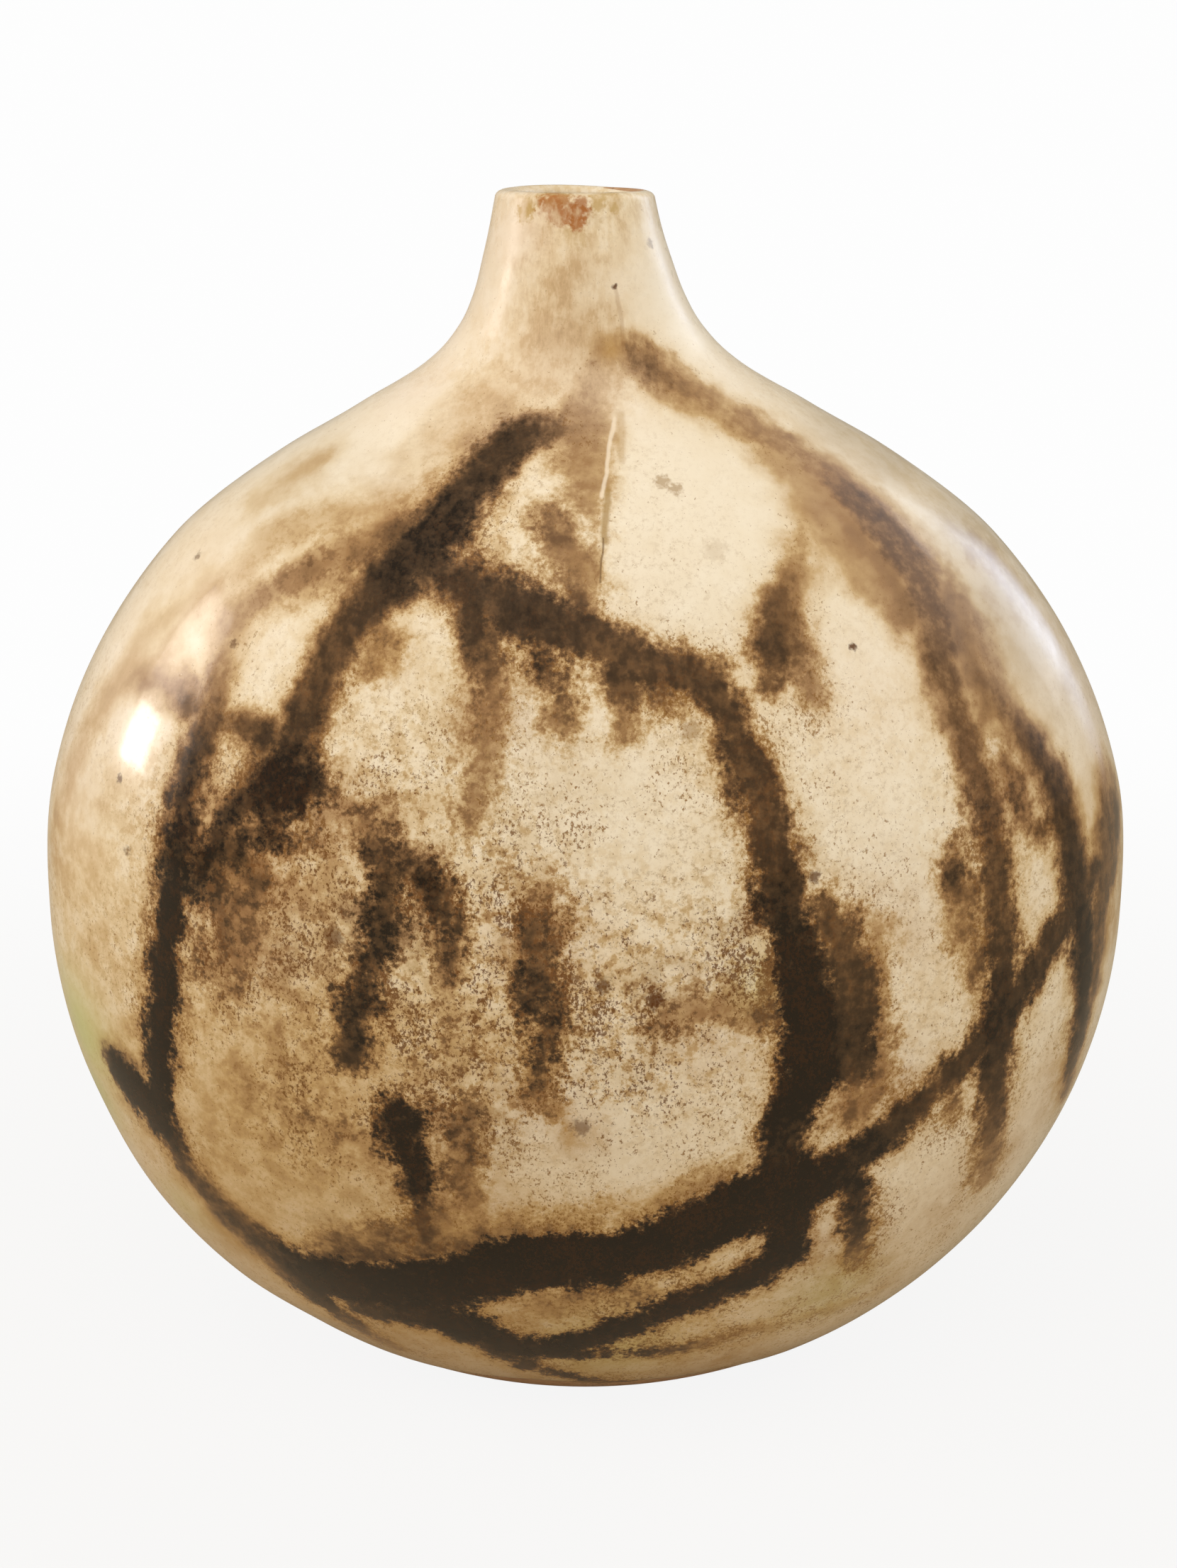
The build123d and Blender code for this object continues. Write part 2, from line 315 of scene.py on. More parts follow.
# Marks on the front. Each is a course of points: a pixel of the photograph, the width there in millimetres
# and how dark the mark is, from 0 to 1. Trails are iron glaze as it was poured, washes are where it is thin.
FRONT_TRAILS = (
    (  # left loop
        (800, 604, 4.0, 0.55), (763, 606, 5.5, 0.72), (719, 626, 6.7, 0.8), (680, 664, 7.0, 0.78),
        (641, 713, 7.4, 0.8), (603, 763, 8.9, 0.84), (553, 813, 8.3, 0.82), (514, 857, 7.0, 0.76),
        (480, 910, 6.4, 0.72), (454, 960, 6.4, 0.72), (434, 1006, 6.2, 0.74), (417, 1050, 6.0, 0.8),
        (398, 1092, 6.6, 0.92), (368, 1118, 5.4, 0.84), (338, 1140, 4.4, 0.7), (318, 1166, 3.8, 0.76),
        (301, 1196, 3.2, 0.8), (285, 1226, 3.0, 0.8), (264, 1252, 2.8, 0.84),
    ),
    (  # left spur
        (398, 1078, 5.0, 0.88), (426, 1094, 5.4, 0.88), (450, 1110, 3.8, 0.8), (466, 1119, 1.8, 0.6),
    ),
    (  # left side
        (322, 868, 5.4, 0.4), (318, 905, 5.6, 0.44), (310, 950, 5.4, 0.48), (300, 1000, 5.2, 0.6),
        (286, 1050, 5.2, 0.72), (270, 1098, 5.0, 0.78), (257, 1150, 5.0, 0.8), (250, 1200, 4.4, 0.82),
        (244, 1240, 4.8, 0.88), (238, 1305, 4.5, 0.95), (230, 1382, 4.1, 0.94), (224, 1460, 3.9, 0.96),
        (225, 1537, 3.6, 0.93), (236, 1593, 3.4, 0.85), (258, 1640, 3.8, 0.68), (300, 1692, 4.6, 0.64),
        (347, 1737, 5.8, 0.7), (400, 1775, 6.8, 0.84), (447, 1803, 7.6, 1),
    ),
    (  # left knot
        (152, 1496, 2.4, 0.7), (168, 1514, 4.2, 0.92), (190, 1540, 5.8, 0.97), (212, 1568, 5.0, 0.95),
        (234, 1596, 3.4, 0.9),
    ),
    (  # cross
        (595, 774, 6.0, 0.8), (641, 816, 6.8, 0.72), (691, 843, 8.0, 0.73), (752, 870, 9.4, 0.8),
        (805, 890, 7.8, 0.76), (874, 916, 6.6, 0.7), (929, 942, 7.2, 0.72), (982, 952, 7.2, 0.73),
        (1011, 984, 6.2, 0.73), (1033, 1029, 6.2, 0.73), (1053, 1082, 6.5, 0.72), (1075, 1134, 7.2, 0.72),
        (1088, 1186, 7.6, 0.73), (1100, 1250, 7.0, 0.8), (1114, 1316, 7.2, 0.87), (1137, 1382, 9.2, 0.96),
        (1150, 1449, 11.4, 1), (1146, 1506, 10.0, 1), (1119, 1559, 7.8, 0.96), (1106, 1606, 7.8, 0.9),
        (1106, 1661, 8.6, 0.94), (1113, 1725, 6.6, 1), (1122, 1775, 3.6, 0.9),
    ),
    (  # bulge
        (1163, 1281, 6.0, 0.68), (1188, 1336, 7.8, 0.68), (1201, 1402, 8.6, 0.73),
        (1199, 1471, 9.0, 0.82), (1208, 1517, 5.7, 0.72), (1212, 1557, 2.8, 0.48),
    ),
    (  # right diagonal
        (1124, 1694, 6.4, 1), (1181, 1650, 6.4, 0.93), (1239, 1610, 6.0, 0.85), (1287, 1568, 5.4, 0.8),
        (1332, 1530, 4.8, 0.72), (1371, 1490, 4.8, 0.8), (1409, 1447, 5.6, 0.88), (1442, 1396, 5.0, 0.84),
        (1478, 1338, 4.4, 0.78), (1511, 1290, 4.0, 0.8), (1544, 1230, 3.6, 0.75),
    ),
    (  # diagonal drip
        (1200, 1650, 5.0, 0.9), (1208, 1700, 5.4, 0.85), (1210, 1745, 4.8, 0.72), (1208, 1782, 3.4, 0.55),
    ),
    (  # shoulder
        (858, 492, 3.4, 0.26), (886, 495, 4.4, 0.5), (920, 517, 5.0, 0.62), (962, 545, 5.4, 0.54),
        (1020, 577, 5.6, 0.47), (1084, 612, 5.6, 0.49), (1150, 655, 5.6, 0.5), (1205, 703, 6.4, 0.63),
        (1245, 745, 7.6, 0.63), (1288, 800, 8.0, 0.61), (1314, 870, 8.0, 0.6), (1328, 930, 6.8, 0.63),
        (1347, 1000, 5.4, 0.64), (1371, 1070, 5.0, 0.62), (1391, 1140, 5.6, 0.64),
        (1402, 1210, 5.4, 0.68), (1411, 1283, 5.2, 0.72), (1418, 1351, 5.4, 0.78),
        (1413, 1427, 6.0, 0.88), (1406, 1493, 5.7, 0.82), (1402, 1562, 5.0, 0.72),
        (1398, 1617, 4.8, 0.62), (1390, 1664, 3.8, 0.52),
    ),
    (  # far right
        (1372, 880, 3.4, 0.5), (1390, 945, 4.0, 0.54), (1417, 1005, 4.4, 0.6), (1454, 1055, 4.8, 0.7),
        (1483, 1105, 5.2, 0.76), (1503, 1170, 5.2, 0.8), (1518, 1250, 5.4, 0.84), (1529, 1318, 4.8, 0.92),
        (1531, 1385, 4.0, 0.92), (1524, 1451, 3.2, 0.85), (1513, 1506, 2.8, 0.72), (1504, 1546, 2.0, 0.6),
    ),
    (  # right edge
        (1552, 1082, 4.0, 0.36), (1560, 1120, 6.4, 0.52), (1562, 1165, 7.4, 0.6), (1562, 1210, 6.0, 0.64),
        (1556, 1260, 4.0, 0.68), (1552, 1316, 3.2, 0.7), (1544, 1393, 2.6, 0.72),
    ),
    (  # short mark
        (1141, 722, 3.6, 0.34), (1132, 762, 4.2, 0.46), (1118, 802, 4.4, 0.5), (1106, 842, 5.4, 0.64),
        (1096, 887, 6.2, 0.72), (1090, 931, 5.4, 0.72), (1086, 960, 3.6, 0.66),
    ),
    (  # short arm
        (1112, 865, 4.4, 0.62), (1122, 905, 4.2, 0.62), (1136, 945, 4.0, 0.56), (1148, 982, 3.6, 0.48),
        (1155, 1006, 2.2, 0.4),
    ),
    (  # bottom band
        (425, 1789, 6.3, 0.9), (476, 1808, 8.4, 0.95), (542, 1814, 9.8, 0.96), (619, 1812, 10.8, 0.96),
        (708, 1790, 11.1, 0.97), (774, 1783, 10.6, 1), (841, 1778, 10.3, 1), (907, 1765, 9.6, 1),
        (962, 1745, 9.8, 1), (1017, 1718, 10.3, 1), (1073, 1690, 9.8, 1), (1119, 1668, 8.4, 1),
    ),
    (  # lower band
        (510, 1846, 3.6, 0.8), (570, 1852, 5.4, 0.88), (625, 1862, 7.0, 0.95), (676, 1880, 7.2, 0.97),
        (724, 1900, 5.0, 0.95), (774, 1903, 4.4, 0.95), (832, 1890, 4.2, 0.93), (898, 1866, 4.2, 0.92),
        (953, 1845, 4.2, 0.92), (1009, 1823, 4.6, 0.95), (1064, 1800, 5.2, 0.98), (1108, 1765, 6.4, 1),
    ),
    (  # lowest band
        (652, 1869, 2.8, 0.7), (697, 1904, 2.8, 0.8), (752, 1929, 2.1, 0.8), (818, 1944, 1.5, 0.8),
        (885, 1951, 1.3, 0.7),
    ),
    (  # hem
        (774, 1911, 2.2, 0.95), (874, 1909, 2.0, 0.85), (951, 1904, 2.0, 0.66), (1004, 1893, 2.4, 0.5),
        (1053, 1880, 2.0, 0.48), (1119, 1862, 1.6, 0.34), (1186, 1842, 1.6, 0.34),
        (1240, 1822, 1.4, 0.26),
    ),
    (  # left hem
        (332, 1725, 3.2, 0.5), (389, 1783, 3.4, 0.56), (445, 1827, 3.6, 0.84), (493, 1862, 3.4, 0.7),
        (553, 1898, 2.6, 0.5),
    ),
    (  # short wing
        (1146, 752, 3.0, 0.36), (1158, 800, 3.0, 0.34), (1156, 848, 2.4, 0.3),
    ),
    (  # under the spur
        (424, 1112, 4.4, 0.84), (404, 1134, 4.2, 0.84), (388, 1156, 2.8, 0.7),
    ),
    (  # low tail
        (584, 1650, 3.6, 0.74), (592, 1690, 2.8, 0.68), (598, 1725, 2.4, 0.64), (601, 1762, 2.6, 0.64),
    ),
    (  # small drip
        (1342, 1525, 3.2, 0.7), (1346, 1552, 3.0, 0.62), (1345, 1576, 1.8, 0.5),
    ),
)
FRONT_WASHES = (
    (  # inner left
        (515, 1157, 5.1, 0.32), (542, 1208, 7.3, 0.6), (553, 1263, 6.7, 0.62), (533, 1329, 5.9, 0.57),
        (511, 1385, 5.9, 0.66), (500, 1440, 6.2, 0.66), (489, 1491, 5.4, 0.54),
    ),
    (  # inner right
        (577, 1223, 5.1, 0.62), (619, 1267, 6.2, 0.7), (637, 1327, 5.7, 0.5), (633, 1380, 3.6, 0.36),
    ),
    (  # centre drop
        (750, 1240, 6.5, 0.13), (762, 1285, 7.0, 0.36), (762, 1325, 7.3, 0.52), (761, 1382, 6.4, 0.62),
        (763, 1449, 5.4, 0.66), (763, 1505, 5.0, 0.62), (763, 1545, 5.0, 0.4), (764, 1566, 4.6, 0.36),
    ),
    (  # low left
        (565, 1580, 8.4, 0.95), (578, 1620, 6.2, 0.95), (589, 1665, 4.0, 0.85), (596, 1710, 2.6, 0.8),
        (601, 1755, 2.4, 0.8),
    ),
    (  # low wash
        (659, 1570, 6.7, 0.4), (650, 1648, 7.2, 0.45), (664, 1716, 3.9, 0.35),
    ),
    (  # right wash
        (927, 1438, 4.4, 0.34), (973, 1429, 5.7, 0.3), (1029, 1420, 6.0, 0.29), (1088, 1438, 5.7, 0.42),
    ),
    (  # red patch
        (323, 1199, 9.0, 0.46), (338, 1261, 11.6, 0.36), (332, 1323, 10.3, 0.36), (316, 1371, 6.4, 0.24),
    ),
    (  # red streak
        (352, 1174, 2.1, 0.75), (389, 1186, 1.8, 0.8), (429, 1192, 1.3, 0.6),
    ),
    (  # veil
        (846, 500, 6.0, 0.2), (830, 560, 9.0, 0.3), (822, 620, 10.0, 0.32), (830, 680, 7.5, 0.33),
        (842, 735, 4.0, 0.31),
    ),
    (  # ring right
        (781, 734, 5.9, 0.5), (798, 779, 6.2, 0.42), (832, 818, 5.7, 0.36), (821, 858, 5.1, 0.5),
    ),
    (  # long drip
        (668, 863, 6.2, 0.62), (684, 929, 5.6, 0.58), (693, 984, 5.4, 0.44), (682, 1051, 5.6, 0.34),
        (670, 1117, 5.2, 0.27), (664, 1165, 4.4, 0.25),
    ),
    (  # drip one
        (763, 929, 3.3, 0.7), (785, 980, 3.6, 0.6), (790, 1020, 4.4, 0.45),
    ),
    (  # drip two
        (869, 942, 4.6, 0.6), (883, 995, 4.6, 0.5), (876, 1037, 3.3, 0.4),
    ),
    (  # drip three
        (940, 973, 5.1, 0.5), (953, 1004, 3.3, 0.35),
    ),
    (  # edge rust
        (520, 885, 3.3, 0.4), (544, 913, 3.9, 0.45), (520, 942, 2.6, 0.35),
    ),
    (  # right spot
        (1343, 1205, 3.3, 0.5), (1345, 1235, 4.4, 0.72),
    ),
    (  # spot tail
        (1356, 1261, 5.7, 0.45), (1367, 1316, 5.9, 0.45), (1376, 1371, 4.4, 0.4),
    ),
    (  # side streak
        (1418, 1080, 1.4, 0.5), (1428, 1105, 2.0, 0.6), (1436, 1140, 2.0, 0.62), (1448, 1160, 1.4, 0.5),
        (1466, 1178, 2.0, 0.55),
    ),
    (  # web one
        (585, 750, 6.0, 0.5), (530, 757, 7.4, 0.36), (488, 780, 6.8, 0.38), (450, 800, 6.6, 0.42),
        (405, 826, 6.0, 0.37), (362, 850, 5.6, 0.28), (335, 880, 5.0, 0.26),
    ),
    (  # web two
        (300, 812, 3.2, 0.12), (262, 855, 3.6, 0.15), (222, 885, 4.2, 0.16), (192, 930, 4.6, 0.2),
        (165, 975, 4.4, 0.22), (132, 1020, 3.6, 0.22), (106, 1080, 2.8, 0.2), (84, 1150, 2.2, 0.2),
    ),
    (  # web three
        (150, 985, 4.0, 0.26), (196, 957, 5.4, 0.32), (242, 968, 6.2, 0.46), (284, 998, 5.2, 0.46),
    ),
    (  # web four
        (560, 712, 6.0, 0.2), (490, 722, 6.6, 0.2), (430, 738, 7.6, 0.2), (385, 762, 6.6, 0.17),
        (345, 800, 5.4, 0.13),
    ),
    (  # shoulder halo
        (1100, 640, 9.0, 0.22), (1190, 700, 9.0, 0.26), (1260, 760, 10.0, 0.25),
    ),
    (  # bulge wash
        (1239, 1320, 6.0, 0.2), (1228, 1393, 6.7, 0.24), (1239, 1526, 6.4, 0.35), (1208, 1570, 6.1, 0.45),
    ),
    (  # band wash
        (619, 1725, 7.7, 0.35), (664, 1769, 6.4, 0.4), (763, 1753, 3.9, 0.35),
    ),
    (  # lower wash
        (774, 1847, 6.4, 0.33), (841, 1836, 5.1, 0.28), (907, 1825, 3.9, 0.22),
    ),
    (  # shoulder smoke
        (690, 560, 9.0, 0.14), (655, 600, 11.0, 0.16), (600, 640, 10.0, 0.12),
    ),
    (  # neck smoke
        (770, 520, 10.0, 0.12), (815, 465, 8.0, 0.1),
    ),
    (  # right smoke
        (1130, 680, 8.0, 0.26), (1180, 740, 10.0, 0.3), (1230, 800, 11.0, 0.3), (1275, 862, 8.0, 0.36),
    ),
    (  # lower smoke
        (470, 1765, 8.0, 0.4), (600, 1750, 10.0, 0.45), (700, 1745, 7.0, 0.3), (900, 1700, 6.0, 0.18),
        (1010, 1660, 6.0, 0.24),
    ),
    (  # web five
        (455, 640, 4.6, 0.22), (410, 672, 5.0, 0.22), (370, 700, 4.4, 0.14),
    ),
    (  # web six
        (305, 828, 2.4, 0.26), (266, 868, 2.4, 0.24), (240, 905, 2.6, 0.22), (238, 945, 2.8, 0.26),
    ),
    (  # right haze
        (1335, 850, 7.0, 0.36), (1362, 920, 6.4, 0.38), (1384, 975, 5.0, 0.42), (1386, 1008, 3.8, 0.4),
    ),
    (  # knot by the loop
        (330, 1018, 3.4, 0.4), (350, 1030, 5.4, 0.56), (374, 1040, 5.0, 0.6), (356, 1054, 3.4, 0.42),
    ),
)

# Marks on the rear, in the pixels of the same view taken from behind
REAR_TRAILS = (
    (  # left sweep
        (905, 500, 3.5, 0.7), (850, 580, 5.0, 0.85), (760, 660, 5.5, 0.9), (640, 760, 6.5, 0.95),
        (540, 900, 6.0, 0.9), (480, 1040, 6.5, 0.95), (450, 1190, 7.5, 1.0), (430, 1340, 6.5, 0.95),
        (450, 1480, 5.0, 0.9), (520, 1600, 4.0, 0.8),
    ),
    (  # cross
        (560, 900, 4.5, 0.8), (700, 930, 6.0, 0.9), (850, 980, 8.0, 0.95), (980, 1050, 7.0, 0.9),
        (1060, 1170, 6.5, 0.95), (1100, 1320, 8.5, 1.0), (1110, 1460, 7.0, 0.95), (1080, 1600, 5.5, 0.9),
        (1090, 1720, 3.0, 0.8),
    ),
    (  # low band
        (330, 1560, 4.5, 0.85), (470, 1650, 6.0, 0.95), (640, 1710, 7.5, 1.0), (820, 1700, 7.0, 1.0),
        (990, 1640, 7.5, 1.0), (1140, 1560, 5.5, 0.9), (1290, 1450, 5.0, 0.85), (1410, 1320, 4.5, 0.85),
        (1490, 1180, 3.5, 0.75),
    ),
    (  # right sweep
        (960, 560, 3.5, 0.6), (1090, 640, 4.5, 0.6), (1210, 760, 6.0, 0.7), (1300, 910, 7.0, 0.75),
        (1350, 1070, 5.5, 0.8), (1370, 1230, 5.0, 0.85), (1350, 1400, 5.5, 0.9), (1310, 1540, 4.0, 0.7),
        (1290, 1640, 2.5, 0.5),
    ),
    (  # left edge
        (300, 900, 3.5, 0.5), (230, 1050, 4.5, 0.7), (200, 1210, 5.0, 0.85), (205, 1370, 5.0, 0.9),
        (250, 1510, 4.0, 0.75),
    ),
    (  # hem
        (700, 1800, 2.5, 0.8), (840, 1830, 2.0, 0.8), (980, 1800, 2.0, 0.75), (1120, 1740, 1.5, 0.6),
    ),
    (  # drip under the cross
        (830, 990, 3.5, 0.7), (840, 1050, 3.5, 0.6), (838, 1100, 2.5, 0.5),
    ),
    (  # low drip
        (1180, 1560, 2.5, 0.7), (1190, 1640, 2.5, 0.6), (1186, 1700, 1.8, 0.5),
    ),
)
REAR_WASHES = (
    (  # left drop
        (640, 1180, 6.0, 0.5), (650, 1270, 7.0, 0.6), (640, 1370, 6.0, 0.6), (645, 1450, 4.5, 0.5),
    ),
    (  # middle drop
        (840, 1270, 5.0, 0.5), (850, 1360, 6.0, 0.55), (846, 1440, 4.0, 0.45),
    ),
    (  # upper wash
        (700, 600, 6.0, 0.3), (720, 690, 6.0, 0.35), (716, 780, 4.0, 0.3),
    ),
    (  # low wash
        (940, 1400, 6.0, 0.4), (960, 1480, 7.0, 0.45), (950, 1560, 4.0, 0.3),
    ),
    (  # left wash
        (300, 1240, 8.0, 0.4), (310, 1330, 9.0, 0.45), (300, 1410, 6.0, 0.3),
    ),
    (  # right drop
        (1210, 1240, 5.0, 0.45), (1220, 1330, 6.0, 0.5), (1216, 1400, 4.0, 0.4),
    ),
    (  # shoulder veil
        (440, 700, 4.0, 0.25), (360, 800, 4.0, 0.3), (290, 900, 3.5, 0.3),
    ),
)

# Soft patches of the glaze, some partly painted sheen, highlight or shade, each a pixel, a radius in
# millimetres and a strength
SPECKLED = (
    (300, 1190, 20, 0.8), (300, 1330, 22, 0.7), (560, 1180, 26, 0.6), (520, 1330, 26, 0.9),
    (700, 1330, 24, 0.9), (640, 1480, 24, 0.9), (480, 1560, 20, 0.7), (860, 1440, 26, 0.9),
    (1000, 1360, 18, 0.8), (720, 1120, 20, 0.35), (640, 760, 14, 0.5), (1230, 1260, 14, 0.3),
    (1380, 1160, 14, 0.5), (430, 800, 14, 0.35), (820, 1640, 20, 0.3), (1240, 1700, 20, 0.25),
    (900, 1840, 22, 0.5), (1000, 1100, 22, 0.25), (1220, 1060, 22, 0.25), (1290, 1440, 16, 0.35),
)
PLAIN = (
    (970, 700, 22, 0.6), (1000, 800, 16, 0.4), (160, 1180, 14, 0.8), (210, 1040, 14, 0.6),
    (1180, 860, 14, 0.3), (820, 420, 22, 0.9), (480, 560, 18, 0.6), (1480, 900, 14, 0.6),
    (330, 1600, 9, 0.4), (960, 1230, 14, 0.3), (1280, 1430, 15, 0.5), (850, 1600, 12, 0.4),
    (1465, 1020, 7, 0.5),
)
RUSTY = (
    (330, 1240, 12, 0.9), (350, 1330, 9, 0.6), (560, 700, 8, 0.3), (1262, 1300, 11, 0.25),
    (1230, 1550, 10, 0.6), (600, 1620, 12, 0.6), (640, 1700, 10, 0.5), (1425, 1115, 6, 0.5),
    (760, 1330, 9, 0.5), (760, 1560, 6, 0.6), (1150, 1760, 10, 0.5), (1010, 1440, 10, 0.4),
    (700, 1010, 7, 0.4), (1180, 690, 8, 0.4), (480, 1160, 9, 0.35), (780, 1860, 12, 0.4),
    (395, 1190, 5, 0.8),
)
OCHRE = (
    (820, 1600, 5, 1.0), (1410, 1640, 8, 0.6), (1500, 1520, 10, 0.7), (1566, 1300, 7, 1.0),
    (1575, 1220, 5, 0.8), (1560, 1160, 9, 0.6), (1398, 1620, 5, 0.8), (1213, 1740, 6, 0.6),
    (1230, 1850, 14, 0.8), (1000, 1930, 16, 0.8), (800, 1950, 16, 0.7), (560, 1890, 14, 0.6),
    (330, 1740, 10, 0.8), (250, 1640, 9, 0.7), (545, 925, 6, 0.4), (860, 495, 3, 1.0), (80, 1200, 5, 0.8),
    (740, 1500, 7, 0.5), (1380, 1760, 12, 0.5), (600, 1960, 16, 0.6), (1210, 1750, 6, 0.6),
    (500, 1440, 7, 0.3),
)
GREYISH = (
    (520, 1330, 10, 0.6), (560, 1240, 7, 0.5), (420, 1340, 8, 0.5), (940, 1390, 6, 0.5),
    (1060, 1330, 9, 0.5), (740, 1090, 14, 0.2), (900, 1500, 12, 0.15), (1090, 1210, 8, 0.3),
    (660, 1580, 10, 0.4), (410, 1130, 7, 0.5), (470, 1720, 12, 0.3), (1190, 612, 9, 0.8),
    (1250, 650, 10, 0.9), (1310, 705, 12, 0.6), (1370, 770, 13, 1.15), (1410, 840, 13, 1.2),
    (1442, 895, 13, 1.1), (1475, 955, 12, 0.65), (1500, 1010, 9, 0.2), (420, 680, 14, 0.4),
)
# Rosy patches: partly the glaze's own pinkish tone on the neck, partly painted sheen round the mirrored
# windows on the left and on the right side, and a painted highlight on the neck's left side
ROSY_AND_SHEEN = (
    (110, 1080, 14, 0.6), (180, 980, 18, 0.6), (1540, 980, 18, 0.5), (1240, 960, 14, 0.3),
    (640, 540, 12, 0.15), (770, 500, 14, 0.5), (800, 420, 16, 0.35), (690, 575, 12, 0.4),
    (590, 540, 10, 0.6), (722, 330, 9, 0.8), (640, 470, 8, 0.5), (845, 545, 9, 0.6), (700, 400, 18, 0.4),
    (1500, 1660, 12, 0.3), (300, 850, 14, 0.5),
)
# Browner patches: partly the glaze's own browner tone, partly painted shade on the neck's right side, along
# the left and right outlines and low on the left
BROWNED_AND_SHADE = (
    (400, 1560, 26, 1.2), (450, 1300, 24, 0.7), (330, 1620, 18, 1.0), (110, 1240, 16, 0.65),
    (130, 1350, 16, 0.6), (150, 1130, 10, 0.5), (190, 1520, 14, 1.0), (790, 400, 12, 0.6),
    (690, 575, 10, 0.25), (765, 500, 10, 0.2), (700, 760, 12, 0.3), (800, 470, 10, 0.3),
    (600, 1480, 20, 0.5), (1340, 1180, 6, 0.2), (876, 335, 9, 0.36), (762, 345, 9, 0.6),
    (640, 960, 9, 0.3), (1260, 650, 14, 0.3), (1345, 740, 12, 0.3), (1383, 795, 10, 1.0),
    (1412, 850, 9, 0.8), (1470, 880, 14, 0.3), (1582, 1150, 8, 1.0), (1582, 1260, 8, 0.8),
    (700, 1640, 14, 0.25), (1360, 1400, 8, 0.3),
)
# Whiter patches: mostly the glaze's own chalky tone, partly a painted highlight on the neck's left side and
# painted light low on the right
CHALKY_AND_HIGHLIGHT = (
    (935, 400, 12, 1.0), (965, 460, 12, 0.9), (1010, 520, 18, 0.6), (990, 700, 26, 0.8),
    (980, 820, 22, 0.7), (1180, 900, 20, 0.6), (480, 620, 16, 0.6), (685, 400, 9, 0.7),
    (640, 480, 10, 0.6), (1200, 1050, 22, 0.5), (880, 1180, 22, 0.5), (1260, 1180, 16, 0.8),
    (560, 600, 16, 0.7), (1295, 1440, 18, 0.5), (1300, 1700, 22, 0.7), (1420, 1640, 12, 0.6),
    (1408, 1060, 6, 0.8), (722, 335, 6, 0.7), (850, 1596, 18, 0.9), (1010, 1580, 12, 0.4),
    (480, 960, 18, 0.3),
)
# Green patches: a painted green reflection on the lower left edge, and faint green in the glaze in a few
# other places
GREEN_TINT_AND_REFLECTION = (
    (112, 1450, 11, 1.3), (135, 1530, 9, 1.2), (92, 1390, 7, 0.7), (860, 1960, 12, 0.4),
    (1080, 1390, 6, 0.3), (1200, 1880, 10, 0.4), (260, 1700, 7, 0.4),
)
SOFT = (
    (380, 700, 44, 1.0), (240, 900, 34, 1.0), (120, 1150, 20, 0.9), (110, 1420, 14, 0.8),
    (1250, 700, 46, 1.0), (1400, 900, 40, 1.0), (1540, 1100, 22, 0.9), (1560, 1350, 16, 0.8),
    (830, 380, 50, 0.7), (1000, 560, 34, 0.8), (640, 560, 30, 0.6), (1480, 1560, 14, 0.6),
    (310, 1715, 12, 0.9), (400, 990, 18, 0.6), (300, 1130, 16, 0.6),
)
REAR_SOFT = (
    (380, 700, 40, 0.8), (1250, 700, 40, 0.8), (830, 380, 60, 1.0),
)
REAR_BROWNED = (
    (450, 1500, 24, 0.7), (1250, 1500, 24, 0.7), (800, 420, 14, 0.6), (760, 560, 14, 0.5),
)
REAR_CHALKY = (
    (960, 700, 26, 0.8), (600, 640, 18, 0.6), (1180, 960, 20, 0.6), (900, 1180, 22, 0.5),
)
REAR_SPECKLED = (
    (560, 1250, 30, 0.8), (900, 1350, 30, 0.9), (1200, 1200, 26, 0.6), (800, 1650, 26, 0.6),
)
REAR_PLAIN = (
    (900, 760, 26, 0.8), (400, 1000, 20, 0.6), (820, 420, 22, 0.8), (1300, 1050, 14, 0.4),
)
REAR_RUSTY = (
    (650, 1300, 12, 0.8), (1000, 1500, 12, 0.6), (1250, 1350, 12, 0.6), (520, 820, 9, 0.4),
)
REAR_OCHRE = (
    (830, 1900, 30, 0.7), (300, 1600, 12, 0.7), (1450, 1450, 12, 0.7), (1100, 1780, 10, 0.6),
)
REAR_GREYISH = (
    (800, 1250, 14, 0.5), (450, 1350, 12, 0.5), (1300, 850, 16, 0.4),
)

# Rust and ochre marks on the rim, and single spots of iron: a pixel, a radius in millimetres and a strength
RIM_RUST = (
    (776, 288, 1.7, 0.9), (786, 298, 1.6, 0.9), (800, 300, 1.6, 0.85), (812, 300, 1.7, 1.0),
    (814, 314, 1.1, 0.9), (792, 286, 1.4, 0.7), (820, 286, 1.0, 0.8),
)
RIM_OCHRE = (
    (745, 290, 1.1, 0.8), (738, 300, 1.3, 0.8), (758, 280, 1.2, 0.5), (776, 272, 1.6, 0.7),
    (790, 276, 1.4, 0.6), (846, 274, 1.4, 0.6), (864, 272, 1.2, 0.5), (843, 290, 0.9, 0.6),
    (868, 292, 0.8, 0.6), (836, 312, 1.2, 0.35), (812, 330, 1.6, 0.25),
)
IRON_SPOTS = (
    (868, 404, 0.55, 0.9), (919, 343, 0.9, 0.45), (1203, 913, 0.7, 0.9), (171, 1098, 0.9, 0.8),
    (182, 1200, 0.9, 0.7), (330, 909, 0.8, 0.7), (852, 1391, 1.4, 0.8), (924, 1413, 1.6, 0.9),
    (820, 1592, 1.6, 0.6), (281, 787, 1.0, 0.6), (472, 1322, 1.7, 0.7), (1148, 1238, 1.1, 0.8),
)
FAINT_SPOTS = (
    (934, 677, 1.2, 0.6), (953, 688, 1.1, 0.6), (975, 1030, 1.6, 0.6), (1010, 775, 1.8, 0.2),
)


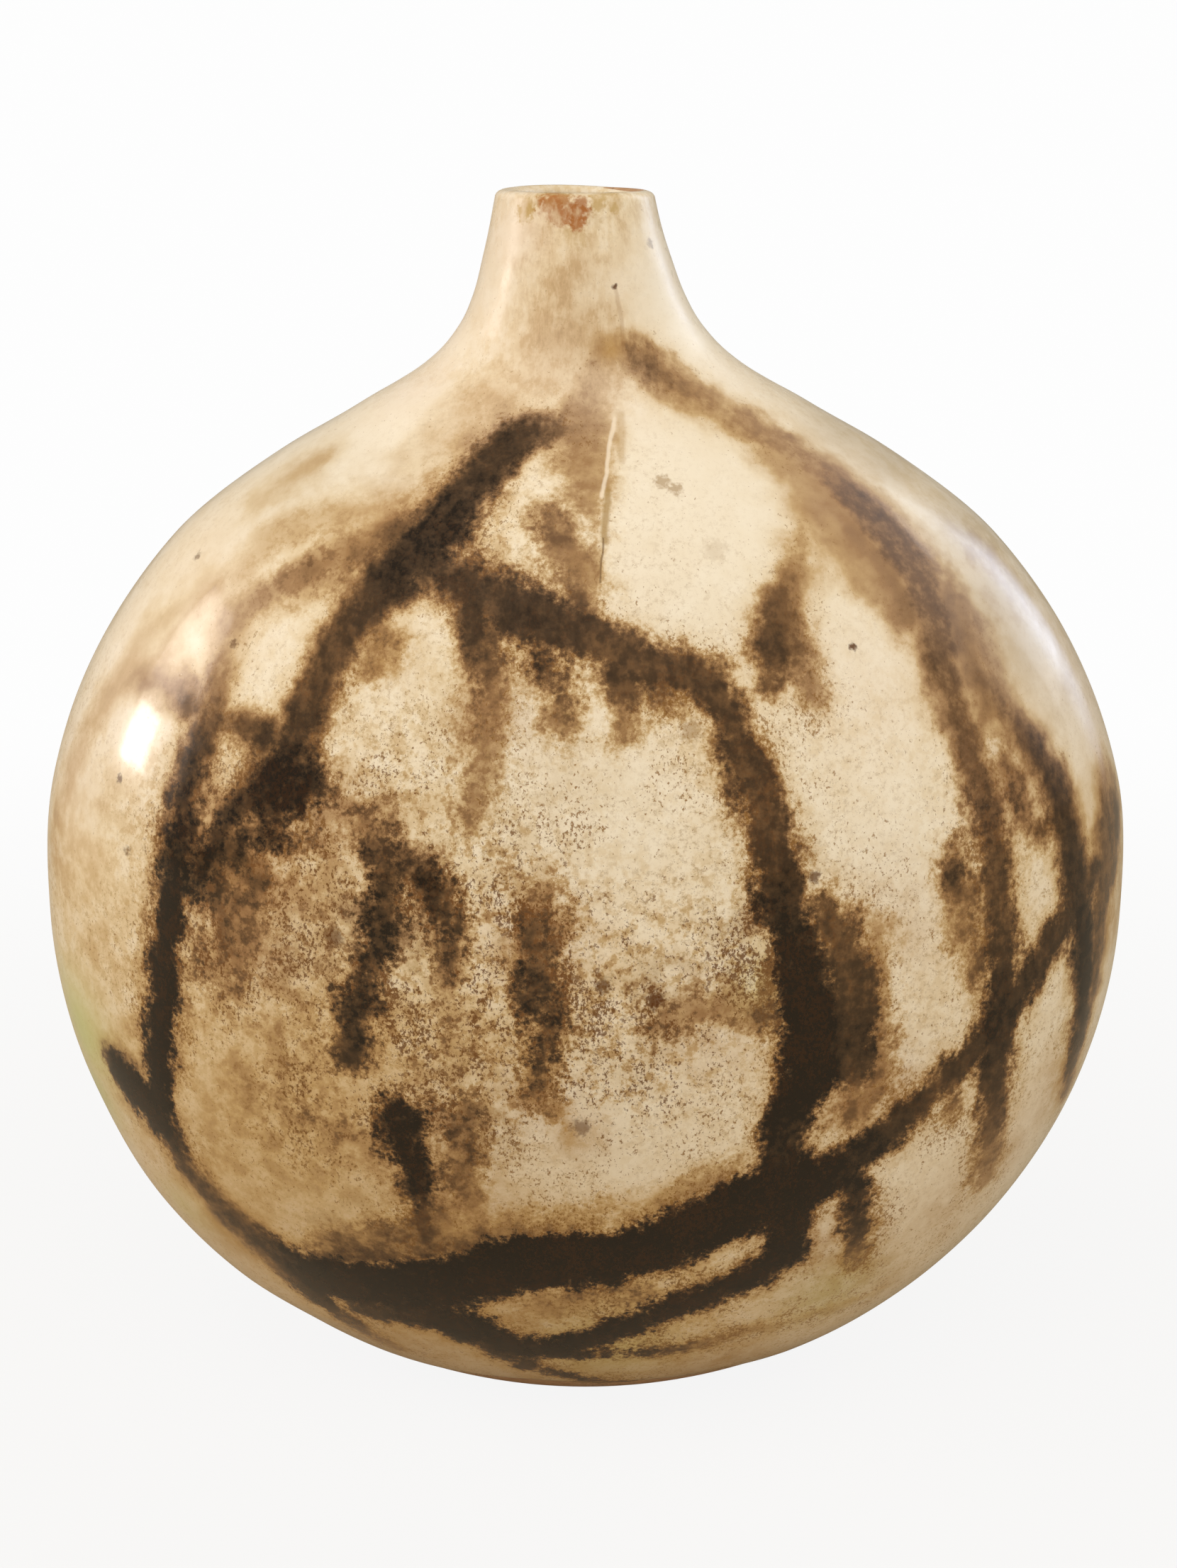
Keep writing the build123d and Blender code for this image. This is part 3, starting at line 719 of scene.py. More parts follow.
# The real flask isn't quite even: its sides are fuller above the middle, and low on the left. Each has the
# height where the fullness starts, how far it grows, the height where it has gone, and how far it fades.
SIDE_FULLNESS = 0.95 * MM
FULL_SIDES = (96 * MM, 26 * MM, 182 * MM, 16 * MM)
LEFT_FULLNESS = 0.85 * MM
FULL_LOW_LEFT = (14 * MM, 10 * MM, 62 * MM, 24 * MM)


def between(height, start, rise, end, fall):
    """1 between two heights, with an easy start and end."""
    return smooth((height - start) / rise) * smooth((end - height) / fall)


def patches(points, surface, front, rear=()):
    """How strongly a set of soft patches covers each point."""
    cover = np.zeros(len(points))
    for behind, blots in ((False, front), (True, rear)):
        for blot in blots:
            centre = np.array(on_surface(surface, blot[:2], behind)[0])
            away = np.linalg.norm(points - centre, axis=1) / (blot[2] * MM)
            cover = np.maximum(cover, blot[3] * np.exp(-(away**2)))
    return cover


def skin_relief(height, shown, angles, trail_edge):
    """How far each point stands out: undulations, throwing rings, the trails' thickness, the fuller sides."""
    waves = lumps(shown * (1, 1, 0.7), 46 * MM, 1) * 0.16 + lumps(shown, 17 * MM, 2) * 0.05
    on_neck = smooth((height - COLLAR_JOINT) / (12 * MM))
    rings = np.sin(height / (2.6 * MM) + lumps(shown, 30 * MM, 3) * 0.6) * 0.05
    raised = smooth((trail_edge.reshape(height.shape) + 1.5) / 3.0) * 0.10
    relief = waves * (1 - 0.6 * on_neck) + rings * on_neck + raised
    relief = np.clip(relief * MM, -0.25 * MM, SKIN_DEPTH * 0.95)
    sideways = np.cos(angles)[None, :]
    sides = SIDE_FULLNESS * between(height, *FULL_SIDES) * sideways**2
    left = LEFT_FULLNESS * between(height, *FULL_LOW_LEFT) * np.clip(-sideways, 0, 1) ** 2
    return relief + sides + left


def skin_fields(points, surface, trail, wash):
    """What the material reads at each point of the skin, with the value that its hidden side gets."""
    fields = {
        "trail_edge": (trail.edge, Marks.FAR),
        "trail_dark": (trail.levels() ** 1.6, 0.0),
        "wash_edge": (wash.edge, Marks.FAR),
        "wash_dark": (wash.levels(), 0.0),
    }
    kinds = {
        "speckled": (SPECKLED, REAR_SPECKLED),
        "plain": (PLAIN, REAR_PLAIN),
        "rusty": (RUSTY, REAR_RUSTY),
        "ochre": (OCHRE, REAR_OCHRE),
        "greyish": (GREYISH, REAR_GREYISH),
        "rosy_and_sheen": (ROSY_AND_SHEEN, ()),
        "green_tint_and_reflection": (GREEN_TINT_AND_REFLECTION, ()),
        "soft": (SOFT, REAR_SOFT),
        "browned_and_shade": (BROWNED_AND_SHADE, REAR_BROWNED),
        "chalky_and_highlight": (CHALKY_AND_HIGHLIGHT, REAR_CHALKY),
    }
    for name, (front, rear) in kinds.items():
        fields[name] = (patches(points, surface, front, rear), 0.0)
    return fields


def make_skin():
    """The glazed outside in one closed skin, with its soft unevenness and the courses of its trails."""
    angles = np.arange(AROUND) / AROUND * 2 * math.pi
    shown, hidden = skin_rings(angles)
    points = shown.reshape(-1, 3)
    surface = BVHTree.FromPolygons(points.tolist(), open_ring_faces(len(shown), AROUND).tolist())
    trail = Marks(points, surface)
    wash = Marks(points, surface)
    for marks, front, rear in ((trail, FRONT_TRAILS, REAR_TRAILS), (wash, FRONT_WASHES, REAR_WASHES)):
        for course in front:
            marks.add(course)
        for course in rear:
            marks.add(course, behind=True)

    # The relief eases off over the lip
    height = shown[..., 2]
    relief = skin_relief(height, shown, angles, trail.edge)
    ease = np.ones(len(shown))
    ease[OUTER_RINGS:] = np.clip(1 - np.arange(len(shown) - OUTER_RINGS) / LIP_RINGS, 0, 1) * LIP_RELIEF
    ease[OUTER_RINGS - LIP_EASE_RINGS : OUTER_RINGS] = np.linspace(1, LIP_RELIEF, LIP_EASE_RINGS)
    moved = shown + grid_normals(shown) * ((relief - SKIN_DEPTH) * ease[:, None])[..., None]

    # The rim dips a little, and the glaze ends in an uneven line above the foot
    around = angles[None, :]
    dip = -0.16 * np.cos(around - 0.5) + 0.12 * np.cos(2 * around + 2.2) + 0.05 * np.cos(3 * around + 1.0)
    dip = (dip - 0.32) * MM
    near_rim = smooth((height - TOP + 14 * MM) / (13 * MM))
    outside = np.arange(len(shown)) < OUTER_RINGS + LIP_RINGS
    moved[..., 2] += dip * near_rim * np.where(outside, 1, 0.4)[:, None]
    runs = 1.0 + 0.5 * np.sin(3 * around + 0.7) + 0.35 * np.sin(7 * around + 2.0) + 0.25 * np.sin(13 * around)
    runs = runs * 0.9 * MM
    moved[..., 2] += runs * (1 - smooth((height - GLAZE_LINE) / (6 * MM)))
    hidden[-3:, :, 2] += runs * np.array([0.3, 0.7, 1.0])[:, None]

    vertices = np.concatenate([moved, hidden]).reshape(-1, 3)
    faces = ring_faces(len(shown) + len(hidden), AROUND)
    mesh = bpy.data.meshes.new("glaze_skin")
    mesh.from_pydata(vertices.tolist(), [], faces.tolist())
    mesh.shade_smooth()
    for name, (values, elsewhere) in skin_fields(points, surface, trail, wash).items():
        attribute = mesh.attributes.new(name, "FLOAT", "POINT")
        everywhere = np.full(len(vertices), elsewhere, np.float32)
        everywhere[: len(values)] = values
        attribute.data.foreach_set("value", everywhere)
    skin = bpy.data.objects.new("glaze_skin", mesh)
    bpy.context.collection.objects.link(skin)
    return skin, surface


class Shading:
    """The nodes of one tree, made with short calls."""

    def __init__(self, tree):
        self.tree = tree

    def put(self, value, socket):
        if isinstance(value, bpy.types.NodeSocket):
            self.tree.links.new(value, socket)
        else:
            socket.default_value = value

    def add(self, kind, inputs=None, **settings):
        node = self.tree.nodes.new("ShaderNode" + kind)
        for name, value in settings.items():
            setattr(node, name, value)
        for name, value in (inputs or {}).items():
            self.put(value, node.inputs[name])
        return node

    def maths(self, operation, first, second):
        return self.add("Math", {0: first, 1: second}, operation=operation).outputs[0]

    def vectors(self, operation, first, second, output=0):
        return self.add("VectorMath", {0: first, 1: second}, operation=operation).outputs[output]

    def times(self, first, second):
        return self.maths("MULTIPLY", first, second)

    def plus(self, first, second):
        return self.maths("ADD", first, second)

    def minus(self, first, second):
        return self.maths("SUBTRACT", first, second)

    def spread(self, value, low, high, new_low=0.0, new_high=1.0, kind="SMOOTHSTEP"):
        inputs = {"Value": value, "From Min": low, "From Max": high, "To Min": new_low, "To Max": new_high}
        return self.add("MapRange", inputs, interpolation_type=kind).outputs["Result"]

    def field(self, name):
        return self.add("Attribute", attribute_name=name).outputs["Fac"]

    def place(self):
        return self.add("TexCoord").outputs["Object"]

    def along(self, place, axis):
        return self.add("SeparateXYZ", {"Vector": place}).outputs[axis]

    def stretched(self, place, scale):
        return self.add("Mapping", {"Vector": place, "Scale": scale}).outputs["Vector"]

    def noise(self, place, size, detail=2.0, roughness=0.5):
        """Cloudy noise from 0 to 1 with features of that size in millimetres."""
        inputs = {
            "Vector": place,
            "Scale": 1 / (size * MM),
            "Detail": detail,
            "Roughness": roughness,
        }
        return self.add("TexNoise", inputs).outputs["Fac"]

    def mix(self, share, first, second):
        node = self.add("Mix", data_type="RGBA")
        self.put(share, node.inputs["Factor"])
        self.put(first, node.inputs[6])
        self.put(second, node.inputs[7])
        return node.outputs[2]

    def ramp(self, value, stops):
        node = self.add("ValToRGB", {"Fac": value})
        elements = node.color_ramp.elements
        while len(elements) < len(stops):
            elements.new(1.0)
        for element, (position, colour) in zip(elements, stops):
            element.position = position
            element.color = colour
        return node.outputs["Color"]

    def group(self, tree, inputs):
        node = self.tree.nodes.new("ShaderNodeGroup")
        node.node_tree = tree
        for name, value in inputs.items():
            self.put(value, node.inputs[name])
        return node.outputs


def paint(red, green, blue):
    """A colour as a screen shows it, from 0 to 255."""
    shares = np.array([red, green, blue]) / 255
    linear = np.where(shares <= 0.04045, shares / 12.92, ((shares + 0.055) / 1.055) ** 2.4)
    return (*map(float, linear), 1.0)


def new_group(name, inputs, outputs):
    """An empty node group with named sockets, its shading and its two ends."""
    tree = bpy.data.node_groups.new(name, "ShaderNodeTree")
    for socket, (kind, value) in inputs.items():
        made = tree.interface.new_socket(socket, in_out="INPUT", socket_type="NodeSocket" + kind)
        if value is not None:
            made.default_value = value
    for socket in outputs:
        tree.interface.new_socket(socket, in_out="OUTPUT", socket_type="NodeSocketFloat")
    shade = Shading(tree)
    entry = tree.nodes.new("NodeGroupInput").outputs
    exit_node = tree.nodes.new("NodeGroupOutput").inputs
    return tree, shade, entry, exit_node


def iron_speck_group():
    """Specks of iron that bleed through a glaze, gathered in loose patches."""
    inputs = {"Place": ("Vector", None), "Size": ("Float", 0.4), "Amount": ("Float", 0.5)}
    tree, shade, entry, leave = new_group("iron specks", inputs, ["Specks"])
    per_size = shade.maths("DIVIDE", 1 / MM, entry["Size"])
    inputs = {"Vector": entry["Place"], "Scale": per_size, "Detail": 4.0, "Roughness": 0.72}
    grains = shade.add("TexNoise", inputs)
    gathering = shade.noise(entry["Place"], 9.0, 3.0, 0.6)
    closer = shade.noise(shade.stretched(entry["Place"], (1.3, 1.3, 0.9)), 2.6, 2.0, 0.5)
    gathered = shade.plus(shade.times(gathering, 0.7), shade.times(closer, 0.3))
    amount = shade.times(entry["Amount"], shade.spread(gathered, 0.38, 0.64, 0.25, 1.25))
    threshold = shade.minus(0.665, shade.times(amount, 0.175))
    specks = shade.spread(shade.minus(grains.outputs["Fac"], threshold), -0.01, 0.05)
    shade.put(specks, leave["Specks"])
    return tree


def mottle_group():
    """Cloudy change of tone from the firing, in two sizes."""
    inputs = {"Place": ("Vector", None), "Size": ("Float", 6.0)}
    tree, shade, entry, leave = new_group("kiln mottle", inputs, ["Clouds", "Drift"])
    per_size = shade.maths("DIVIDE", 1 / MM, entry["Size"])
    inputs = {"Vector": entry["Place"], "Scale": per_size, "Detail": 4.0, "Roughness": 0.6}
    clouds = shade.add("TexNoise", inputs)
    drift = shade.noise(entry["Place"], 34.0, 2.0, 0.5)
    shade.put(shade.spread(clouds.outputs["Fac"], 0.3, 0.7), leave["Clouds"])
    shade.put(shade.spread(drift, 0.32, 0.68), leave["Drift"])
    return tree


def glaze_surface_group():
    """The height of a fired glaze: slight orange peel, and a few pinholes where gas came through."""
    inputs = {"Place": ("Vector", None), "Peel": ("Float", 1.0), "Pinholes": ("Float", 1.0)}
    tree, shade, entry, leave = new_group("glaze surface", inputs, ["Height"])
    peel = shade.noise(entry["Place"], 2.2, 2.0, 0.45)
    ripple = shade.noise(entry["Place"], 7.0, 1.0, 0.4)
    cells = shade.add("TexVoronoi", {"Vector": entry["Place"], "Scale": 1 / (4.5 * MM)})
    holes = shade.spread(cells.outputs["Distance"], 0.03, 0.075, 1.0, 0.0)
    chosen = shade.maths("GREATER_THAN", shade.noise(entry["Place"], 11.0, 1.0), 0.56)
    pits = shade.times(shade.times(holes, chosen), entry["Pinholes"])
    swell = shade.times(shade.plus(shade.times(peel, 0.35), shade.times(ripple, 0.65)), entry["Peel"])
    shade.put(shade.minus(swell, pits), leave["Height"])
    return tree


def clay_grain_group():
    """The grain of fired stoneware: fine grog, and drag lines from the wheel and the sponge."""
    inputs = {"Place": ("Vector", None), "Size": ("Float", 0.5)}
    tree, shade, entry, leave = new_group("clay grain", inputs, ["Grain", "Grog", "Height"])
    per_size = shade.maths("DIVIDE", 1 / MM, entry["Size"])
    inputs = {"Vector": entry["Place"], "Scale": per_size, "Detail": 4.0, "Roughness": 0.7}
    grain = shade.add("TexNoise", inputs)
    cells = shade.add("TexVoronoi", {"Vector": entry["Place"], "Scale": shade.times(per_size, 0.45)})
    grog = shade.spread(cells.outputs["Distance"], 0.12, 0.26, 1.0, 0.0)
    drag = shade.noise(shade.stretched(entry["Place"], (0.25, 0.25, 3.0)), 2.0, 2.0, 0.5)
    height = shade.plus(shade.plus(grain.outputs["Fac"], shade.times(grog, 0.5)), shade.times(drag, 0.6))
    shade.put(grain.outputs["Fac"], leave["Grain"])
    shade.put(grog, leave["Grog"])
    shade.put(height, leave["Height"])
    return tree


def spot_group():
    """One ragged spot round a point."""
    inputs = {
        "Place": ("Vector", None),
        "Centre": ("Vector", None),
        "Radius": ("Float", 1.0),
        "Strength": ("Float", 1.0),
    }
    tree, shade, entry, leave = new_group("single spot", inputs, ["Spot"])
    away = shade.vectors("DISTANCE", entry["Place"], entry["Centre"], "Value")
    in_radii = shade.maths("DIVIDE", shade.times(away, 1 / MM), entry["Radius"])
    fraying = shade.spread(shade.noise(entry["Place"], 0.8, 2.0, 0.6), 0.0, 1.0, -0.9, 0.9, "LINEAR")
    inside = shade.spread(shade.plus(in_radii, fraying), 0.45, 1.25, 1.0, 0.0)
    shade.put(shade.times(inside, entry["Strength"]), leave["Spot"])
    return tree


def run_line_group():
    """A fine upright run on the front, between two places."""
    inputs = {
        "Place": ("Vector", None),
        "Start": ("Vector", None),
        "Course": ("Vector", None),
        "Width": ("Float", 0.5),
    }
    tree, shade, entry, leave = new_group("fine run", inputs, ["Line"])
    wobble = shade.noise(entry["Place"], 9.0, 3.0, 0.6)
    wobble = shade.spread(wobble, 0.2, 0.8, -0.5 * MM, 0.5 * MM, "LINEAR")
    sideways = shade.add("CombineXYZ", {"X": wobble}).outputs[0]
    flat = shade.vectors("MULTIPLY", shade.vectors("ADD", entry["Place"], sideways), (1.0, 0.0, 1.0))
    from_start = shade.vectors("SUBTRACT", flat, entry["Start"])
    along = shade.vectors("DOT_PRODUCT", from_start, entry["Course"], "Value")
    whole = shade.vectors("DOT_PRODUCT", entry["Course"], entry["Course"], "Value")
    share = shade.spread(shade.maths("DIVIDE", along, whole), 0.0, 1.0, kind="LINEAR")
    nearest = shade.add("VectorMath", {0: entry["Course"], "Scale": share}, operation="SCALE").outputs[0]
    away = shade.vectors("DISTANCE", from_start, nearest, "Value")
    in_widths = shade.maths("DIVIDE", shade.times(away, 1 / MM), entry["Width"])
    in_front = shade.maths("LESS_THAN", shade.along(entry["Place"], "Y"), 0.0)
    shade.put(shade.times(shade.spread(in_widths, 0.25, 1.1, 1.0, 0.0), in_front), leave["Line"])
    return tree


def run_line(shade, groups, place, surface, top, foot, width):
    """The mask of a fine run between two pixels of the photograph."""
    flat = Vector((1, 0, 1))
    start = on_surface(surface, top, False)[0] * flat
    end = on_surface(surface, foot, False)[0] * flat
    values = {"Place": place, "Start": start, "Course": end - start, "Width": width}
    return shade.group(groups["line"], values)["Line"]


def ragged_spots(shade, groups, place, surface, blots, reach):
    """The mask of ragged spots at pixels of the photograph, their radii made larger by that reach."""
    cover = 0.0
    for blot in blots:
        centre = on_surface(surface, blot[:2], False)[0]
        values = {"Place": place, "Centre": centre, "Radius": blot[2] * reach, "Strength": blot[3]}
        cover = shade.maths("MAXIMUM", shade.group(groups["spot"], values)["Spot"], cover)
    return cover


def new_material(name):
    """A material with one Principled shader, and the shading to fill it with."""
    material = bpy.data.materials.new(name)
    material.use_nodes = True
    tree = material.node_tree
    return material, Shading(tree), tree.nodes["Principled BSDF"].inputs


GLAZE_TONES = (
    (0.0, paint(247, 234, 210)),
    (0.12, paint(229, 207, 168)),
    (0.25, paint(202, 170, 122)),
    (0.40, paint(160, 122, 80)),
    (0.55, paint(118, 86, 54)),
    (0.75, paint(76, 56, 35)),
    (1.0, paint(32, 23, 13)),
)
SPECK_BROWN = paint(104, 58, 12)
PALE_SPECK = paint(152, 110, 54)

# Fine runs and the hair crack on the front, with a painted highlight along the crack's lit edge: the pixels
# of both ends, a width in millimetres, strength, colour
RUNS_AND_CRACK_HIGHLIGHT = (
    ((868, 404), (878, 486), 0.5, 0.25, paint(150, 104, 50)),
    # a painted highlight along the hair crack
    ((867, 592), (848, 700), 0.5, 0.7, paint(246, 230, 204)),
    ((874, 586), (878, 648), 1.0, 0.4, paint(186, 150, 96)),
    ((857, 694), (852, 764), 0.8, 0.75, paint(168, 134, 76)),
    ((850, 760), (846, 822), 0.22, 0.7, paint(120, 92, 56)),
)


def iron_density(shade, place, soft):
    """How much poured iron lies at each point: trails, their halo and washes, with edges that noise frays."""
    upright = shade.stretched(place, (1.0, 1.0, 0.33))
    frayed = shade.spread(shade.noise(place, 1.0, 4.0, 0.72), 0.2, 0.8, -2.1, 2.1, "LINEAR")
    wavering = shade.spread(shade.noise(place, 5.0, 2.0, 0.5), 0.2, 0.8, -1.3, 1.3, "LINEAR")
    dripping = shade.spread(shade.noise(upright, 3.2, 2.0, 0.5), 0.2, 0.8, -1.3, 1.3, "LINEAR")
    ragged = shade.times(shade.plus(frayed, dripping), shade.spread(soft, 0.0, 1.0, 1.0, 0.15))
    ragged = shade.plus(ragged, wavering)
    outer_end = shade.spread(soft, 0.0, 1.0, -2.3, -3.8, "LINEAR")
    inner_end = shade.spread(soft, 0.0, 1.0, 1.3, 2.8, "LINEAR")

    trail_dark = shade.field("trail_dark")
    trail_edge = shade.plus(shade.field("trail_edge"), ragged)
    streaks = shade.spread(shade.noise(upright, 1.6, 3.0, 0.6), 0.3, 0.7, 0.36, 0.5)
    blotches = shade.spread(shade.noise(place, 2.4, 5.0, 0.68), 0.36, 0.64, 0.37, 0.6)
    trail = shade.times(shade.spread(trail_edge, outer_end, inner_end), trail_dark)
    trail = shade.times(trail, shade.plus(streaks, blotches))
    halo = shade.times(shade.spread(trail_edge, -6.5, -0.5), trail_dark)

    wash = shade.plus(shade.field("wash_edge"), shade.times(ragged, 1.1))
    wash = shade.spread(wash, shade.spread(soft, 0.0, 1.0, -3.2, -5.0, "LINEAR"), shade.plus(inner_end, 0.8))
    wash = shade.times(wash, shade.field("wash_dark"))
    grainy = shade.spread(shade.noise(place, 2.4, 3.0, 0.6), 0.3, 0.7, 0.7, 1.14)
    wash = shade.times(wash, shade.plus(shade.times(grainy, shade.minus(1.0, soft)), soft))
    return shade.plus(shade.maths("MAXIMUM", trail, wash), shade.times(halo, 0.2))


def fired_density(shade, place, clouds, on_neck):
    """The iron that the pale glaze itself holds: clouds, browned patches that are partly painted shade,
    curdling, and fine runs on the neck.
    """
    upright = shade.stretched(place, (1.0, 1.0, 0.33))
    speckled = shade.field("speckled")
    cloudy = shade.times(clouds, shade.spread(speckled, 0.0, 1.0, 0.05, 0.15))
    # the browned patches, partly painted shade
    brown_and_shade = shade.times(shade.field("browned_and_shade"), shade.spread(clouds, 0.0, 1.0, 0.13, 0.28))
    curdled = shade.spread(shade.noise(place, 2.0, 5.0, 0.7), 0.46, 0.62)
    curdled = shade.times(curdled, shade.times(speckled, 0.3))
    runny = shade.times(shade.spread(shade.noise(upright, 1.5, 4.0, 0.7), 0.42, 0.62), 0.08)
    runny = shade.times(runny, shade.spread(shade.field("chalky_and_highlight"), 0.2, 0.8, 1.0, 0.0))
    return shade.plus(shade.plus(cloudy, brown_and_shade), shade.plus(curdled, shade.times(runny, on_neck)))


def fired_tints(shade, place, mottle, density, soft):
    """The tints in the pale glaze, each with how much of it shows: mostly the glaze's own colour from the
    firing, but the rosy, chalky and green tints are partly painted sheen, highlight and reflection, and the
    warm tint partly painted shade.
    """
    clouds = mottle["Clouds"]
    # Warmer and darker towards the bottom and the left: partly the glaze's own tone, partly painted shade low
    # on the body
    low = shade.spread(shade.along(place, "Z"), 10 * MM, 130 * MM, 1.0, 0.0)
    left = shade.spread(shade.along(place, "X"), -10 * MM, 50 * MM, 1.0, 0.4)
    warm_and_low_shade = shade.plus(shade.times(shade.times(low, left), 0.5), shade.times(mottle["Drift"], 0.14))
    flecked = shade.spread(shade.noise(place, 1.1, 5.0, 0.8), 0.48, 0.68)
    gathered = shade.spread(shade.noise(place, 9.0, 4.0, 0.65), 0.36, 0.6, 0.35, 1.0)
    flecked = shade.times(shade.times(flecked, gathered), shade.spread(soft, 0.0, 1.0, 1.0, 0.2))
    # the whiter patches, partly painted highlight and painted light
    chalky_and_highlight = shade.times(shade.field("chalky_and_highlight"), shade.spread(density, 0.1, 0.32, 0.6, 0.0))
    grey = shade.times(shade.spread(clouds, 0.2, 1.0, 0.15, 0.75), shade.minus(1.0, soft))
    grey = shade.times(shade.field("greyish"), shade.plus(grey, shade.times(soft, 0.48)))
    rusty = shade.times(shade.field("rusty"), shade.spread(clouds, 0.0, 1.0, 0.35, 0.8))
    ochre = shade.times(shade.field("ochre"), shade.spread(clouds, 0.0, 1.0, 0.4, 0.85))
    return (
        (flecked, paint(176, 142, 88)),
        (warm_and_low_shade, paint(204, 162, 94)),
        (chalky_and_highlight, paint(248, 238, 218)),
        (shade.times(shade.field("rosy_and_sheen"), 0.5), paint(240, 220, 202)),
        (grey, paint(165, 148, 124)),
        (rusty, paint(150, 100, 66)),
        (ochre, paint(176, 130, 56)),
        (shade.times(shade.field("green_tint_and_reflection"), 0.6), paint(192, 198, 122)),
    )


def bleeding_specks(shade, groups, place, density, soft):
    """Iron specks that bleed through the pale glaze, and their colour: darker where the iron lies thicker."""
    speckled = shade.field("speckled")
    near_trail = shade.times(shade.spread(shade.field("trail_edge"), -7.0, 0.0), 0.45)
    calm = shade.times(shade.maths("MAXIMUM", shade.times(shade.field("plain"), 0.8), soft), 0.5)
    amount = shade.plus(shade.plus(0.42, shade.times(speckled, 0.65)), near_trail)
    amount = shade.minus(amount, calm)
    squat = shade.stretched(place, (1.0, 1.0, 0.75))
    fine = shade.group(groups["specks"], {"Place": squat, "Size": 0.55, "Amount": amount})["Specks"]
    sparse = shade.minus(amount, 0.36)
    coarse = shade.group(groups["specks"], {"Place": place, "Size": 1.5, "Amount": sparse})["Specks"]
    specks = shade.maths("MAXIMUM", shade.times(fine, 0.86), shade.times(coarse, 0.7))
    specks = shade.times(specks, shade.spread(soft, 0.0, 1.0, 1.0, 0.6))
    specks = shade.times(specks, shade.spread(density, 0.35, 0.75, 1.0, 0.18))
    thick = shade.spread(shade.maths("MAXIMUM", speckled, density), 0.15, 0.7)
    return specks, shade.mix(thick, PALE_SPECK, SPECK_BROWN)


def add_single_marks(shade, groups, place, surface, colour):
    """Rust and ochre on the rim, the fine runs with the painted highlight along the hair crack, and the spots
    that stand alone.
    """
    drawn_out = shade.stretched(place, (1.0, 1.0, 0.55))
    streaky = shade.spread(shade.noise(drawn_out, 1.8, 3.0, 0.5), 0.3, 0.56, 0.3, 1.0)
    for blots, tint in ((RIM_OCHRE, paint(186, 148, 70)), (RIM_RUST, paint(172, 108, 54))):
        cover = ragged_spots(shade, groups, place, surface, blots, 1.5)
        colour = shade.mix(shade.times(cover, streaky), colour, tint)
    for top, foot, width, strength, run_colour in RUNS_AND_CRACK_HIGHLIGHT:
        line = run_line(shade, groups, place, surface, top, foot, width)
        colour = shade.mix(shade.times(line, strength), colour, run_colour)
    faint = ragged_spots(shade, groups, place, surface, FAINT_SPOTS, 1.3)
    colour = shade.mix(faint, colour, paint(160, 124, 74))
    dark = ragged_spots(shade, groups, place, surface, IRON_SPOTS, 1.1)
    return shade.mix(dark, colour, paint(92, 50, 12))


def pale_glaze(groups, surface):
    """The pale glaze with the iron trails in it, whose courses come from the skin's fields."""
    material, shade, shader = new_material("pale glaze with iron trails")
    place = shade.place()
    soft = shade.field("soft")
    on_neck = shade.spread(shade.along(place, "Z"), COLLAR_JOINT - 4 * MM, COLLAR_JOINT + 18 * MM)
    mottle = shade.group(groups["mottle"], {"Place": place, "Size": 5.0})
    density = shade.plus(
        iron_density(shade, place, soft), fired_density(shade, place, mottle["Clouds"], on_neck)
    )
    colour = shade.ramp(density, GLAZE_TONES)
    ground = shade.minus(1.0, shade.spread(density, 0.15, 0.7))
    for share, tint in fired_tints(shade, place, mottle, density, soft):
        colour = shade.mix(shade.times(share, ground), colour, tint)
    specks, speck_colour = bleeding_specks(shade, groups, place, density, soft)
    colour = shade.mix(specks, colour, speck_colour)
    colour = add_single_marks(shade, groups, place, surface, colour)
    shade.put(colour, shader["Base Color"])

    roughness = shade.spread(shade.noise(place, 3.0, 2.0, 0.5), 0.3, 0.7, 0.16, 0.23)
    roughness = shade.plus(roughness, shade.times(shade.spread(density, 0.3, 0.9), 0.06))
    roughness = shade.plus(roughness, shade.times(on_neck, 0.1))
    shade.put(roughness, shader["Roughness"])
    relief = shade.group(groups["glaze"], {"Place": place, "Peel": 1.0, "Pinholes": 0.7})["Height"]
    bump = shade.add("Bump", {"Strength": 0.35, "Distance": 0.12 * MM, "Height": relief})
    shade.put(bump.outputs["Normal"], shader["Normal"])
    shade.put(shade.spread(on_neck, 0.0, 1.0, 0.16, 0.06, "LINEAR"), shader["Coat Weight"])
    shader["Specular IOR Level"].default_value = 0.3
    shader["Coat Roughness"].default_value = 0.06
    return material


def plain_glaze(name, groups, tones, speck, amount):
    """A glaze with no trails in it."""
    material, shade, shader = new_material(name)
    place = shade.place()
    mottle = shade.group(groups["mottle"], {"Place": place, "Size": 4.0})
    tone = shade.plus(shade.times(mottle["Clouds"], 0.6), shade.times(mottle["Drift"], 0.4))
    colour = shade.ramp(tone, tones)
    specks = shade.group(groups["specks"], {"Place": place, "Size": 0.45, "Amount": amount})["Specks"]
    colour = shade.mix(shade.times(specks, 0.6), colour, speck)
    shade.put(colour, shader["Base Color"])
    shade.put(shade.spread(mottle["Clouds"], 0.0, 1.0, 0.22, 0.34), shader["Roughness"])
    height = shade.group(groups["glaze"], {"Place": place, "Peel": 1.0, "Pinholes": 1.0})["Height"]
    bump = shade.add("Bump", {"Strength": 0.4, "Distance": 0.15 * MM, "Height": height})
    shade.put(bump.outputs["Normal"], shader["Normal"])
    return material


